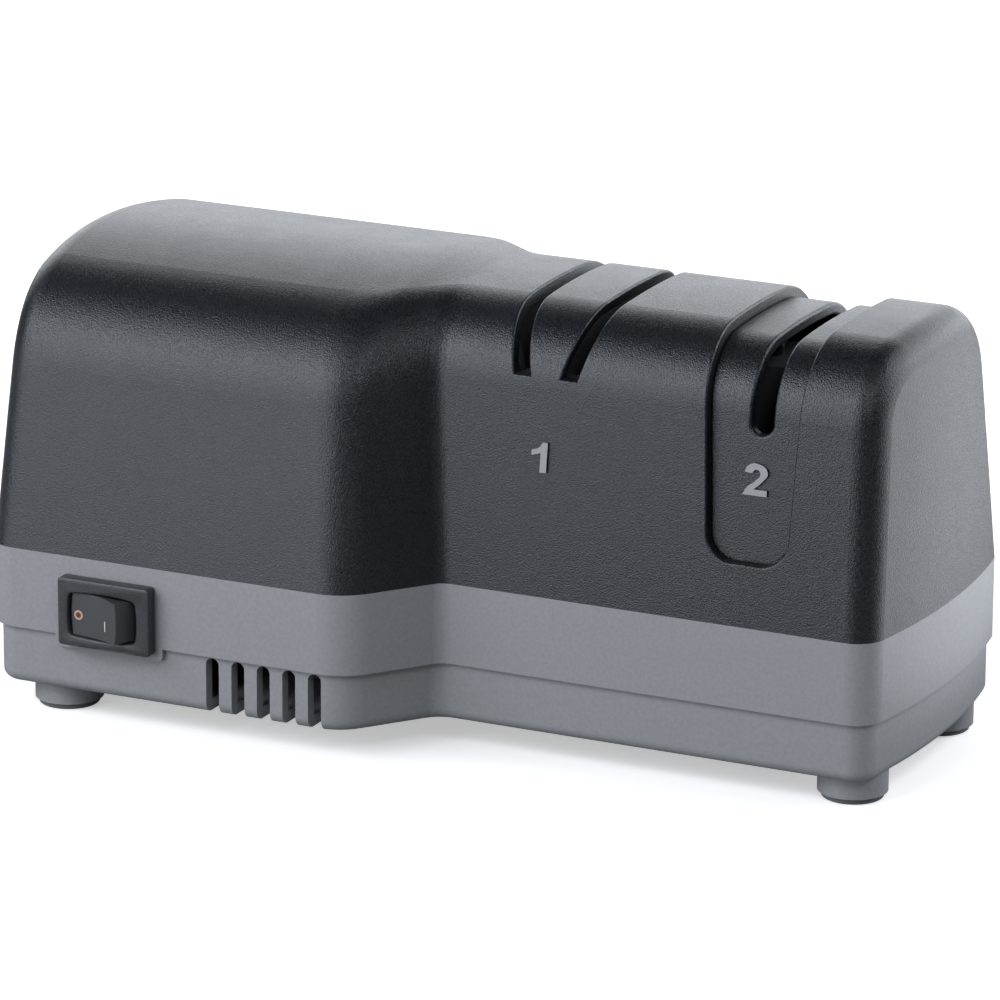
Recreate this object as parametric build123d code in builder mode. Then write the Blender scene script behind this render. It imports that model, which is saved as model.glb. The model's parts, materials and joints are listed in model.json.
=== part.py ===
from build123d import *
import os
from math import cos, radians, sin, sqrt, tan

# Two-stage electric knife sharpener: a black arched housing on a grey base tub.
# Frame: +Z up, +X to the sharpening stages, -Y to the user, origin at the bottom centre.
# All sizes are in millimetres.

os.makedirs("parts", exist_ok=True)

# ---------------------------------------------------------------- driving sizes
# Housing form
LENGTH = 208.8             # overall length at the split line
MOTOR_HALF = 55.4          # half depth of the motor section at the split line
STAGE_HALF = 36.7          # half depth of the sharpening section at the split line
SPLIT_Z = 37.4             # split line between base and upper housing
MOTOR_TOP = 98.5           # crown height over the motor
STAGE_TOP = 97.2           # crown height over the sharpening stages
MOTOR_DRAFT = 12.4         # draft of the motor section's long walls, degrees
STAGE_DRAFT = 7.9          # draft of the sharpening section's long walls, degrees
MOTOR_SHOULDER = 25.8      # shoulder radius of the motor arch
STAGE_SHOULDER = 17.9      # shoulder radius of the sharpening arch
MOTOR_CROWN = 136.0        # crown radius of the motor arch
STAGE_CROWN = 228.0        # crown radius of the sharpening arch
FLANK_X = -17.3            # where the motor section starts to narrow
FLANK_ANGLE = 52.5         # straight part of the flank in plan, degrees
FLANK_ROUND = 12.5         # plan radius where the flank leaves the motor section
FLANK_COVE = 4.2           # plan radius where it meets the sharpening section
FLANK_DRAFT = 5.5          # lean of the flank towards the motor section, degrees
END_BOW = 182.0            # plan radius of both end walls
END_DRAFT = 3.5            # draft of both end walls, degrees
END_ROUND = 6.6            # rounding between end walls and arch
END_ZONE = 20.0            # stretch of each end that holds the end wall's edges
WALL = 2.5                 # wall of the upper housing

# Base tub
TUB_Z = 6.4                # underside of the base
FLOOR = 2.5                # thickness of the base floor
STEP_Z = 19.6              # step between upper band and skirt
STEP_IN = 1.2              # how far the skirt is set in
TUB_WALL = 3.9             # wall of the base at the upper band
TUB_ROUND = 2.4            # rounding of the bottom edge
RIM_WALL = 0.95            # locating rim inside the upper housing
RIM_HEIGHT = 1.6

# Feet and housing screws
FOOT_LEFT_IN = 20.3        # feet from the left end, the right end and the long walls
FOOT_RIGHT_IN = 11.7
FOOT_WALL_IN = 12.5
FOOT_RADIUS = 7.5
PAD_RADIUS = 6.7
PAD_VISIBLE = 1.4          # rubber below the foot post
PAD_PLUG = 3.0             # plug of the pad in the foot post
SCREW_RADIUS = 1.75
SCREW_HEAD_RADIUS = 3.3
SCREW_HEAD = 2.2
SCREW_LENGTH = 22.0
SCREW_SEAT_Z = 24.0        # height of the screw seat in the base pillar
PILLAR_RADIUS = 5.0
PILLAR_HOLE = 3.8
PILOT_END = 4.0            # pilot hole beyond the screw

# Vents
VENT_AHEAD = 25.45         # first vent ahead of the flank
VENT_PITCH = 6.1
VENT_COUNT = 5
VENT_WIDTH = 3.1
VENT_DEPTH = 7.5           # how far the vents cut in from the skirt
VENT_TOP = 0.6             # below the step line

# Stage 1: powered disks
SHAFT_Z = 62.5
SHAFT_RADIUS = 3.0
STAGE1_X = 23.9
SLOT1_LEAN = 14.4          # lean of both blade slots, degrees
SLOT1_WIDTH = 3.5
SLOT1_DEPTH = 13.8         # below the crown
SLOT1_LIP = 0.5            # rounding of the slots' lips
DISK_RADIUS = 23.5
DISK_FACE = 4.6            # abrasive face from the middle of the stage
DISK_THICK = 2.4
DISK_HUB_RADIUS = 6.5
DISK_HUB = 4.0             # hub outside the abrasive face
DISK_TRAVEL = 1.2
SPRING_RADIUS = 5.0
SPRING_WIRE = 0.5
PIN_RADIUS = 1.25
PIN_HALF = 5.2
SHAFT_TAIL = 10.1          # shaft beyond the middle of stage 1

# Stage 2: hand-turned wheels under the insert
STAGE2_IN = 31.8           # middle of stage 2 from the right end
SLOT2_WIDTH = 4.8
SLOT2_DEPTH = 20.4         # below the crown
SLOT2_LIP = 0.8
WINDOW_LEFT = 9.4          # window edge left of the slot at its foot
WINDOW_RIGHT = 8.4
WINDOW_LEFT_LEAN = 4.2     # degrees
WINDOW_RIGHT_LEAN = 1.2
WINDOW_Z = 50.4            # foot of the window
WINDOW_ROUND = 6.0
WINDOW_LIP = 0.5           # rounding of the window's rim
INSERT_GAP = 0.45          # gap round the insert in its window
INSERT_INSET = 2.3         # how far the insert's surface lies inside the housing's
INSERT_WALL = 2.2
INSERT_FLANGE = 3.0
EAR_LENGTH = 9.0           # ears of the insert under the roof
EAR_WIDTH = 8.0
EAR_Y = 14.0
STAKE_OFF = 4.5            # pins beyond the window's edges
STAKE_RADIUS = 1.5         # pins of the housing, melted over under the ears
STAKE_HEAD_RADIUS = 2.4
STAKE_HEAD = 0.9
SPACER_RADIUS = 3.0
CARRIER_BOSS = 3.0
WHEEL_RADIUS = 11.5
WHEEL_WIDTH = 3.6
WHEEL_Y = 2.5              # middle of each wheel off the stage's middle
AXLE_X = 7.5               # axles left and right of the slot
AXLE_DROP = 29.2           # axles below the crown
AXLE_RADIUS = 2.0
AXLE_END = 0.5             # axle beyond the cheek
CARRIER_Y = 9.0            # middle of the carrier's cheeks
CARRIER_WALL = 2.0
CARRIER_HALF = 14.0
CARRIER_DROP = 13.2        # underside of the carrier's bridge below the crown
CARRIER_HEIGHT = 28.0
CARRIER_BRIDGE = 2.2
CARRIER_SCREW_X = 10.5

# Motor
MOTOR_IN = 42.4            # middle of the lamination stack from the left end
STACK = 20.0
CORE_HALF = 30.0           # half width of the laminations
CORE_TOP = 19.0            # laminations above the shaft
CORE_LOW = 20.0            # underside of the laminations
CORE_CORNER = 8.0          # cut-off upper corners of the laminations
BAR = 12.0                 # height of the bar through the coil
COIL_HALF = 18.0           # half length of the coil
LEG = 10.0                 # width of the core's legs
COIL_BUILD = 8.0           # thickness of the winding
COIL_ROUND = 6.0
BOBBIN_WALL = 1.0
BOBBIN_RIM = 0.5           # flange beyond the winding
BOBBIN_ROUND = 3.0
ROTOR_RADIUS = 13.0
AIR_GAP = 0.5
BRIDGE_GAP = 13.0          # bearing bridge to laminations
BRIDGE_THICK = 3.0
BRIDGE_ARM = 12.0
BOLT_Y = 24.5
BOLT_RADIUS = 2.0
BEARING_RADIUS = 5.0
BEARING_LENGTH = 9.5
GROMMET = 3.0
FAN_RADIUS = 23.0
FAN_BLADES = 11
FAN_WIDTH = 8.0
SHAFT_IN = 10.4            # left end of the shaft from the left end of the housing
SHAFT_CHAMFER = 0.6

WINDOW = 12.0              # height of the lamination's window
NECK = 1.0                 # iron left over and under the bore
NECK_WIDTH = 4.0
SHADING_RADIUS = 16.4
SHADING_ANGLE = 38.0
SHADING_HALF = 4.0
SHADING_SLOT = 6.0
SHADING_WIRE = 1.8
SHADING_CLEAR = 0.1
BOSS_RADIUS = 8.0
BOSS_RIM = 3.0             # web round the bearing boss
LEG_WIDTH = 9.0
FOOT_REACH = 11.3
FOOT_SCREW = 6.8
MOUNT_Z = 11.0             # top of the bosses under the motor
MOUNT_PILOT = 3.6
MOUNT_SCREW_LENGTH = 9.0
GROMMET_RADIUS = 5.2
NUT = 3.2
BOLT_HEAD = 2.6
BOLT_HEAD_RADIUS = 3.5
BOLT_TAIL = 1.0            # bolt beyond its nut
END_RING = 3.0
END_RING_STEP = 1.5        # end ring inside the rotor's outside
FAN_GAP = 2.0
FAN_PLATE = 1.5
FAN_HUB = 6.0
FAN_BLADE = 1.2
FAN_BLADE_LENGTH = 16.0
FAN_BLADE_MIDDLE = 14.3    # middle of a blade from the shaft's axis
FAN_BLADE_ANGLE = 25.0
PIN_GRIP = 1.8             # slot left on the drive pin when a disk is pushed in
SPRING_TURNS = 2.0

# Switch
SWITCH_IN = 37.1           # middle of the switch from the left end
SWITCH_Z = 25.5
BEZEL_LENGTH = 21.0
BEZEL_HEIGHT = 15.0
BEZEL_THICK = 2.0
BEZEL_ROUND = 1.0
BEZEL_CHAMFER = 0.4
BODY_IN = 1.2              # body inside the bezel's outline
SWITCH_DEPTH = 13.0        # body behind the bezel
SWITCH_OPENING = 16.3
SWITCH_OPENING_HEIGHT = 9.4
ROCKER_TILT = 15.0
ROCKER_PIVOT = 4.0         # pivot behind the bezel's face
PAD_SIDE = 2.6             # raised pad round the bezel
PAD_Z = 16.8
PAD_ROUND = 1.2
ROCKER_CLEAR = 0.25
ROCKER_SIDE = 0.3          # gap above and below the rocker
ROCKER_RIDGE_X = 6.2
ROCKER_RIDGE_Y = 6.0
ROCKER_VALLEY_Y = 4.4
TRUNNION_RADIUS = 1.2
TRUNNION_LENGTH = 1.0
WING = 0.7                 # reach, length and height of the snap wings
WING_LENGTH = 3.0
WING_HEIGHT = 5.0
TERMINAL_X = 4.8
TERMINAL_LENGTH = 6.0
TERMINAL_THICK = 0.8
TERMINAL_HEIGHT = 4.8

# Cord inlet
GLAND_IN = 44.4            # middle of the gland from the left end
GLAND_Z = 27.0
GLAND_BORE = 3.5
GLAND_NECK = 5.0
GLAND_FLANGE = 7.0
GLAND_REACH = 5.4
GLAND_STEP = 0.6           # shoulder between rim and sleeve
GLAND_RIM = 1.8
GLAND_TAIL = 2.0           # lip inside the wall
GLAND_LIP = 1.2
CLAMP_GAP = 3.1            # gland to clamp
CLAMP_LENGTH = 26.0
CLAMP_ROUND = 2.0
CLAMP_WIDTH = 8.0
CLAMP_THICK = 6.5
CLAMP_SCREW_X = 9.0
CLAMP_SQUEEZE = 0.8
SMALL_SCREW = 1.4
SMALL_SCREW_HEAD = 2.6
SMALL_SCREW_HEIGHT = 1.8
SMALL_SCREW_LENGTH = 8.0

# Clean-out cover
COVER_AHEAD = 3.1          # middle of the cover beyond the middle of stage 1
COVER_LENGTH = 28.0
COVER_HALF = 13.1
COVER_TRAVEL = 28.0
COVER_LIP = 1.4            # lip of the channel, and reach of the cover's flange
COVER_FLANGE = 1.0
GROOVE = 1.2               # finger grooves of the cover
GROOVE_DEPTH = 0.6
GROOVE_PITCH = 3.0
CHANNEL_WALL = 1.8

# Blade guide, bulkhead and magnets
BULKHEAD = 2.0
BULKHEAD_GAP = 1.9         # end of the flank to the bulkhead
BULKHEAD_BORE = 1.0        # gap round the shaft
GUIDE_LENGTH = 32.0
GUIDE_Y = 25.4             # middle of the guide's cheeks
GUIDE_WALL = 2.4
GUIDE_LOW = 50.0
GUIDE_EDGE = 2.1           # foot beyond its screw
GUIDE_FOOT = 7.4
GUIDE_SCREW_LEFT = 7.9     # screws left and right of the middle of stage 1
GUIDE_SCREW_RIGHT = 10.1
GUIDE_BOSS = 14.0
GUIDE_BOSS_RADIUS = 2.7
WEDGE_FOOT = 2.2           # half width of the wedge between the slots at its foot
DISK_CLEAR = 1.2
MAGNET_RADIUS = 4.0
MAGNET_THICK = 3.0
MAGNET_Y = 22.0
SOCKET_WALL = 1.2
PAD_EDGE = 0.5             # rounding of the rubber pads
RIM_EDGE = 0.5             # chamfer of the wheels' rims
RAIL = 1.5                 # rails that hold the bulkhead's edges
RAIL_REACH = 3.0
RAIL_ROOT = 1.0            # rail inside the wall that carries it
RAIL_TOP = 30.0

# Fits
CLEAR = 0.4                # clearance hole round a screw, and end play
RUNNING = 0.05             # radial clearance of a turning fit
FIT = 0.05                 # clearance of a pressed or screwed fit
SLIDE = 0.3                # clearance of plastic pieces that slide or drop in

# ---------------------------------------------------------------- derived sizes
LEFT_X = -LENGTH / 2
RIGHT_X = LENGTH / 2
FLOOR_Z = TUB_Z + FLOOR
FEET = [
    (x, way * (half - FOOT_WALL_IN))
    for x, half in (
        (LEFT_X + FOOT_LEFT_IN, MOTOR_HALF),
        (RIGHT_X - FOOT_RIGHT_IN, STAGE_HALF),
    )
    for way in (-1, 1)
]
MOTOR_X = LEFT_X + MOTOR_IN
SWITCH_X = LEFT_X + SWITCH_IN
GLAND_X = LEFT_X + GLAND_IN
VENT_X = FLANK_X - VENT_AHEAD
flank_turn = radians(FLANK_ANGLE)
flank_bends = FLANK_ROUND + FLANK_COVE
flank_fall = MOTOR_HALF - STAGE_HALF
flank_straight = (flank_fall - flank_bends * (1 - cos(flank_turn))) / sin(flank_turn)
flank_run = flank_bends * sin(flank_turn) + flank_straight * cos(flank_turn)
BULKHEAD_X = FLANK_X + flank_run + BULKHEAD_GAP
COVER_X = STAGE1_X + COVER_AHEAD
STAGE2_X = RIGHT_X - STAGE2_IN
SLOT1_BOTTOM = STAGE_TOP - SLOT1_DEPTH
SLOT2_BOTTOM = STAGE_TOP - SLOT2_DEPTH
AXLE_Z = STAGE_TOP - AXLE_DROP
CARRIER_TOP = STAGE_TOP - CARRIER_DROP
FOOT_Z = MOUNT_Z + GROMMET
PIN_SLOT = DISK_TRAVEL + PIN_GRIP
MOTOR_FEET = [
    (MOTOR_X + side * (STACK / 2 + BRIDGE_GAP + FOOT_SCREW), way * BOLT_Y)
    for side in (-1, 1)
    for way in (-1, 1)
]
GUIDE_SCREW_Y = GUIDE_Y + GUIDE_WALL / 2 + SLIDE + GUIDE_BOSS_RADIUS
GUIDE_SCREWS = [
    (x, way * GUIDE_SCREW_Y)
    for x in (STAGE1_X - GUIDE_SCREW_LEFT, STAGE1_X + GUIDE_SCREW_RIGHT)
    for way in (-1, 1)
]
switch_length = BEZEL_LENGTH - 2 * BODY_IN
switch_height = BEZEL_HEIGHT - 2 * BODY_IN
rocker_height = SWITCH_OPENING_HEIGHT - 2 * ROCKER_SIDE
FLANK_STEPS = 3            # sections round each bend of the flank
TALL = 120.0               # longer than anything that it cuts
BEYOND = 15.0              # reach of a cutting outline beyond the housing
UP = (Align.CENTER, Align.CENTER, Align.MIN)
DOWN = (Align.CENTER, Align.CENTER, Align.MAX)


# ---------------------------------------------------------------- housing form
def arch_corners(half, draft, shoulder, crown, top):
    """Tangent points of one side of an arch: wall top, shoulder middle, crown end."""
    slope = radians(draft)
    wall = Vector(-sin(slope), cos(slope))
    out = Vector(cos(slope), sin(slope))
    crown_middle = Vector(0, top - crown)
    start = Vector(half, SPLIT_Z) - out * shoulder - crown_middle
    along = start.dot(wall)
    reach = sqrt(along ** 2 - start.dot(start) + (crown - shoulder) ** 2) - along
    middle = crown_middle + start + wall * reach
    over = (middle - crown_middle).normalized()
    bisector = (out + over).normalized()
    return middle + out * shoulder, middle + bisector * shoulder, middle + over * shoulder


def mirrored(point):
    """The same point on the other side of the housing's middle plane."""
    return Vector(-point.X, point.Y)


def arch_profile(x, half, draft, shoulder, crown, top, low):
    """Cross-section of the housing at x: drafted walls, round shoulders, flat crown."""
    wall_top, shoulder_mid, crown_end = arch_corners(half, draft, shoulder, crown, top)
    foot = Vector(half - (low - SPLIT_Z) * tan(radians(draft)), low)
    with BuildSketch(Plane.YZ.offset(x)) as profile:
        with BuildLine():
            Line(foot, wall_top)
            ThreePointArc(wall_top, shoulder_mid, crown_end)
            ThreePointArc(crown_end, (0, top), mirrored(crown_end))
            ThreePointArc(mirrored(crown_end), mirrored(shoulder_mid), mirrored(wall_top))
            Line(mirrored(wall_top), mirrored(foot))
            Line(mirrored(foot), foot)
        make_face()
    return profile.sketch


def housing_section(x, blend, inset, low):
    """Section between the motor arch (blend 0) and the sharpening arch (blend 1)."""
    draft = MOTOR_DRAFT + (STAGE_DRAFT - MOTOR_DRAFT) * blend
    half = MOTOR_HALF + (STAGE_HALF - MOTOR_HALF) * blend - inset / cos(radians(draft))
    shoulder = MOTOR_SHOULDER + (STAGE_SHOULDER - MOTOR_SHOULDER) * blend - inset
    crown = MOTOR_CROWN + (STAGE_CROWN - MOTOR_CROWN) * blend - inset
    top = MOTOR_TOP + (STAGE_TOP - MOTOR_TOP) * blend - inset
    return arch_profile(x, half, draft, shoulder, crown, top, low)


def flank_stretches(inset):
    """Bend, straight part and cove of the flank: distances from its start and narrowing there."""
    bend = FLANK_ROUND - inset
    cove = FLANK_COVE + inset
    turns = [flank_turn * step / FLANK_STEPS for step in range(FLANK_STEPS + 1)]
    leaving = [(bend * sin(turn), bend * (1 - cos(turn))) for turn in turns]
    meeting = [
        (flank_run - cove * sin(turn), flank_fall - cove * (1 - cos(turn))) for turn in turns[::-1]
    ]
    return leaving, [leaving[-1], meeting[0]], meeting


def straight_stretch(section, x, keep):
    """Stretch of the housing beside the flank, cut off where the flank leans from x."""
    leaning = Plane((x, 0, SPLIT_Z), x_dir=(0, 1, 0), z_dir=(1, 0, tan(radians(FLANK_DRAFT))))
    with BuildPart() as stretch:
        extrude(section, amount=LENGTH, both=True)
        split(bisect_by=leaning, keep=keep)
    return stretch.part


def housing_form(inset):
    """Closed form of the whole housing above the split line, its surface moved inwards by inset."""
    start = FLANK_X - inset * tan(flank_turn / 2)
    lean = tan(radians(FLANK_DRAFT))
    leaning = Matrix([[1, 0, -lean, lean * SPLIT_Z], [0, 1, 0, 0], [0, 0, 1, 0]])
    low = SPLIT_Z - BEYOND
    bow = END_BOW - inset
    wide = MOTOR_HALF + BEYOND
    sag = bow - sqrt(bow ** 2 - wide ** 2)
    left = LEFT_X + inset
    right = RIGHT_X - inset
    with BuildPart() as form:
        add(straight_stretch(housing_section(start, 0, inset, low), start, Keep.BOTTOM))
        for stations in flank_stretches(inset):
            flank = loft(
                [housing_section(start + x, fall / flank_fall, inset, low) for x, fall in stations],
                mode=Mode.PRIVATE,
            )
            add(flank.transform_geometry(leaning))
        end = start + flank_run
        add(straight_stretch(housing_section(end, 1, inset, low), end, Keep.TOP))
        with BuildSketch(Plane.XY.offset(SPLIT_Z)):
            with BuildLine():
                ThreePointArc((left + sag, wide), (left, 0), (left + sag, -wide))
                Line((left + sag, -wide), (right - sag, -wide))
                ThreePointArc((right - sag, -wide), (right, 0), (right - sag, wide))
                Line((right - sag, wide), (left + sag, wide))
            make_face()
        extrude(amount=TALL, taper=END_DRAFT, mode=Mode.INTERSECT)
        ends = [
            edge
            for edge in form.edges()
            if abs(edge.center().X) > LENGTH / 2 - END_ZONE
            and edge.bounding_box().size.X < END_ZONE and edge.center().Z > SPLIT_Z + FIT
        ]
        fillet(ends, radius=END_ROUND - inset)
    return form.part


def plan(form):
    """Flat underside of a form, at the split line."""
    return form.faces().sort_by(Axis.Z)[0]


outer_form = housing_form(0)
inner_form = housing_form(WALL)
band_plan = plan(outer_form)
skirt_plan = plan(housing_form(STEP_IN))
tub_plan = plan(housing_form(TUB_WALL))
rim_plan = plan(housing_form(TUB_WALL - RIM_WALL))


def stage_arch(x, inset, low):
    """Cross-section of the sharpening section at x, for pieces that fit under its arch."""
    half = STAGE_HALF - inset / cos(radians(STAGE_DRAFT))
    shoulder = STAGE_SHOULDER - inset
    crown = STAGE_CROWN - inset
    return arch_profile(x, half, STAGE_DRAFT, shoulder, crown, STAGE_TOP - inset, low)


def finish(piece, node):
    """Label a finished piece and write it under its node's name."""
    piece.part.label = node
    export_step(piece.part, f"parts/{node}.step")


# ---------------------------------------------------------------- stage openings
def blade_slot(side, bottom, width):
    """Outline in XZ of a leaning blade slot, flat at its bottom; side is -1 or 1."""
    lean = side * tan(radians(SLOT1_LEAN))
    across = Vector(width / 2 / cos(radians(SLOT1_LEAN)), 0)
    top = bottom + TALL / 2
    foot = Vector(STAGE1_X + lean * (bottom - SHAFT_Z), bottom)
    head = Vector(STAGE1_X + lean * (top - SHAFT_Z), top)
    with BuildSketch(Plane.XZ.offset(-TALL / 2)) as slot:
        with BuildLine():
            Polyline(foot - across, foot + across, head + across, head - across, close=True)
        make_face()
    return slot.sketch


def outer_edges(edges, core):
    """Edges that lie outside the core."""
    return [edge for edge in edges if core.distance_to(Vertex(edge @ 0.5)) > FIT]


def window_outline(grow, y):
    """Outline in XZ of the stage 2 window, grown by grow, in the plane at y."""
    rise = STAGE_TOP + BEYOND - WINDOW_Z
    left = STAGE2_X - WINDOW_LEFT
    right = STAGE2_X + WINDOW_RIGHT
    with BuildSketch(Plane.XZ.offset(-y)) as outline:
        with BuildLine():
            Polyline(
                (left, WINDOW_Z),
                (right, WINDOW_Z),
                (right + rise * tan(radians(WINDOW_RIGHT_LEAN)), WINDOW_Z + rise),
                (left - rise * tan(radians(WINDOW_LEFT_LEAN)), WINDOW_Z + rise),
                close=True,
            )
        make_face()
        fillet(outline.vertices().group_by(Axis.Z)[0], radius=WINDOW_ROUND)
        if grow:
            offset(amount=grow, kind=Kind.INTERSECTION)
    return outline.sketch


# ---------------------------------------------------------------- upper housing
crown_rise = STAGE_TOP - WALL - WINDOW_Z
ear_left = STAGE2_X - WINDOW_LEFT - crown_rise * tan(radians(WINDOW_LEFT_LEAN))
ear_right = STAGE2_X + WINDOW_RIGHT + crown_rise * tan(radians(WINDOW_RIGHT_LEAN))
ear_drop = SLIDE + INSERT_WALL + (EAR_Y + STAKE_HEAD_RADIUS) ** 2 / 2 / STAGE_CROWN
STAKES = [
    (x, way * EAR_Y)
    for x in (ear_left - STAKE_OFF, ear_right + STAKE_OFF)
    for way in (-1, 1)
]
pillar_top = SCREW_SEAT_Z + SCREW_LENGTH + PILOT_END
with BuildPart() as pillars:
    with BuildSketch(Plane.XY.offset(SPLIT_Z)):
        with Locations(*FEET):
            Circle(PILLAR_RADIUS)
    extrude(amount=TALL)
    add(outer_form, mode=Mode.INTERSECT)

with BuildPart() as upper_housing:
    add(outer_form)
    add(inner_form, mode=Mode.SUBTRACT)
    # pillars that take the housing screws, up to the roof
    add(pillars.part)
    with Locations(*[(x, y, SPLIT_Z) for x, y in FEET]):
        Cylinder(SCREW_RADIUS + FIT, pillar_top - SPLIT_Z, align=UP, mode=Mode.SUBTRACT)
    # bosses for the blade guide's screws
    with Locations(*[(x, y, GUIDE_LOW + GUIDE_WALL) for x, y in GUIDE_SCREWS]):
        Cylinder(GUIDE_BOSS_RADIUS, GUIDE_BOSS, align=UP)
        Cylinder(SMALL_SCREW + FIT, SMALL_SCREW_LENGTH, align=UP, mode=Mode.SUBTRACT)
    # stage 1 blade slots, over the whole depth
    for side in (-1, 1):
        extrude(blade_slot(side, SLOT1_BOTTOM, SLOT1_WIDTH), amount=TALL, mode=Mode.SUBTRACT)
        fillet(outer_edges(upper_housing.edges(Select.NEW), inner_form), radius=SLOT1_LIP)
    # stage 2 window
    extrude(window_outline(0, TALL / 2), amount=TALL, mode=Mode.SUBTRACT)
    fillet(outer_edges(upper_housing.edges(Select.NEW), inner_form), radius=WINDOW_LIP)
    # pins through the ears of the insert
    with Locations(*[(x, y, STAGE_TOP - WALL / 2) for x, y in STAKES]):
        Cylinder(STAKE_RADIUS, WALL / 2 + ear_drop, align=DOWN)
    with Locations(*[(x, y, STAGE_TOP - WALL - ear_drop) for x, y in STAKES]):
        Cylinder(STAKE_HEAD_RADIUS, STAKE_HEAD, align=DOWN)
finish(upper_housing, "upper_housing")

# ---------------------------------------------------------------- base tub
vent_top = STEP_Z - VENT_TOP - VENT_WIDTH / 2
channel_left = COVER_X - COVER_LENGTH / 2 - SLIDE
channel_right = COVER_X + COVER_LENGTH / 2 + COVER_TRAVEL + SLIDE
channel_middle = (channel_left + channel_right) / 2
channel_length = channel_right - channel_left
channel_lip_z = TUB_Z + COVER_LIP
channel_roof_z = channel_lip_z + COVER_FLANGE + 2 * SLIDE
channel_top_z = channel_roof_z + CHANNEL_WALL
channel_half = COVER_HALF + COVER_LIP + SLIDE
saddle_z = GLAND_Z - CLAMP_SQUEEZE
rail_x = BULKHEAD_X + BULKHEAD / 2
rail_off = BULKHEAD / 2 + SLIDE + RAIL / 2
rail_length = RAIL_REACH + RAIL_ROOT
rail_y = STAGE_HALF - TUB_WALL + RAIL_ROOT - rail_length / 2
wall_in = MOTOR_HALF - TUB_WALL - CLEAR
gland_in = wall_in - GLAND_TAIL
clamp_y = gland_in - CLAMP_GAP - CLAMP_WIDTH / 2

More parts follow.
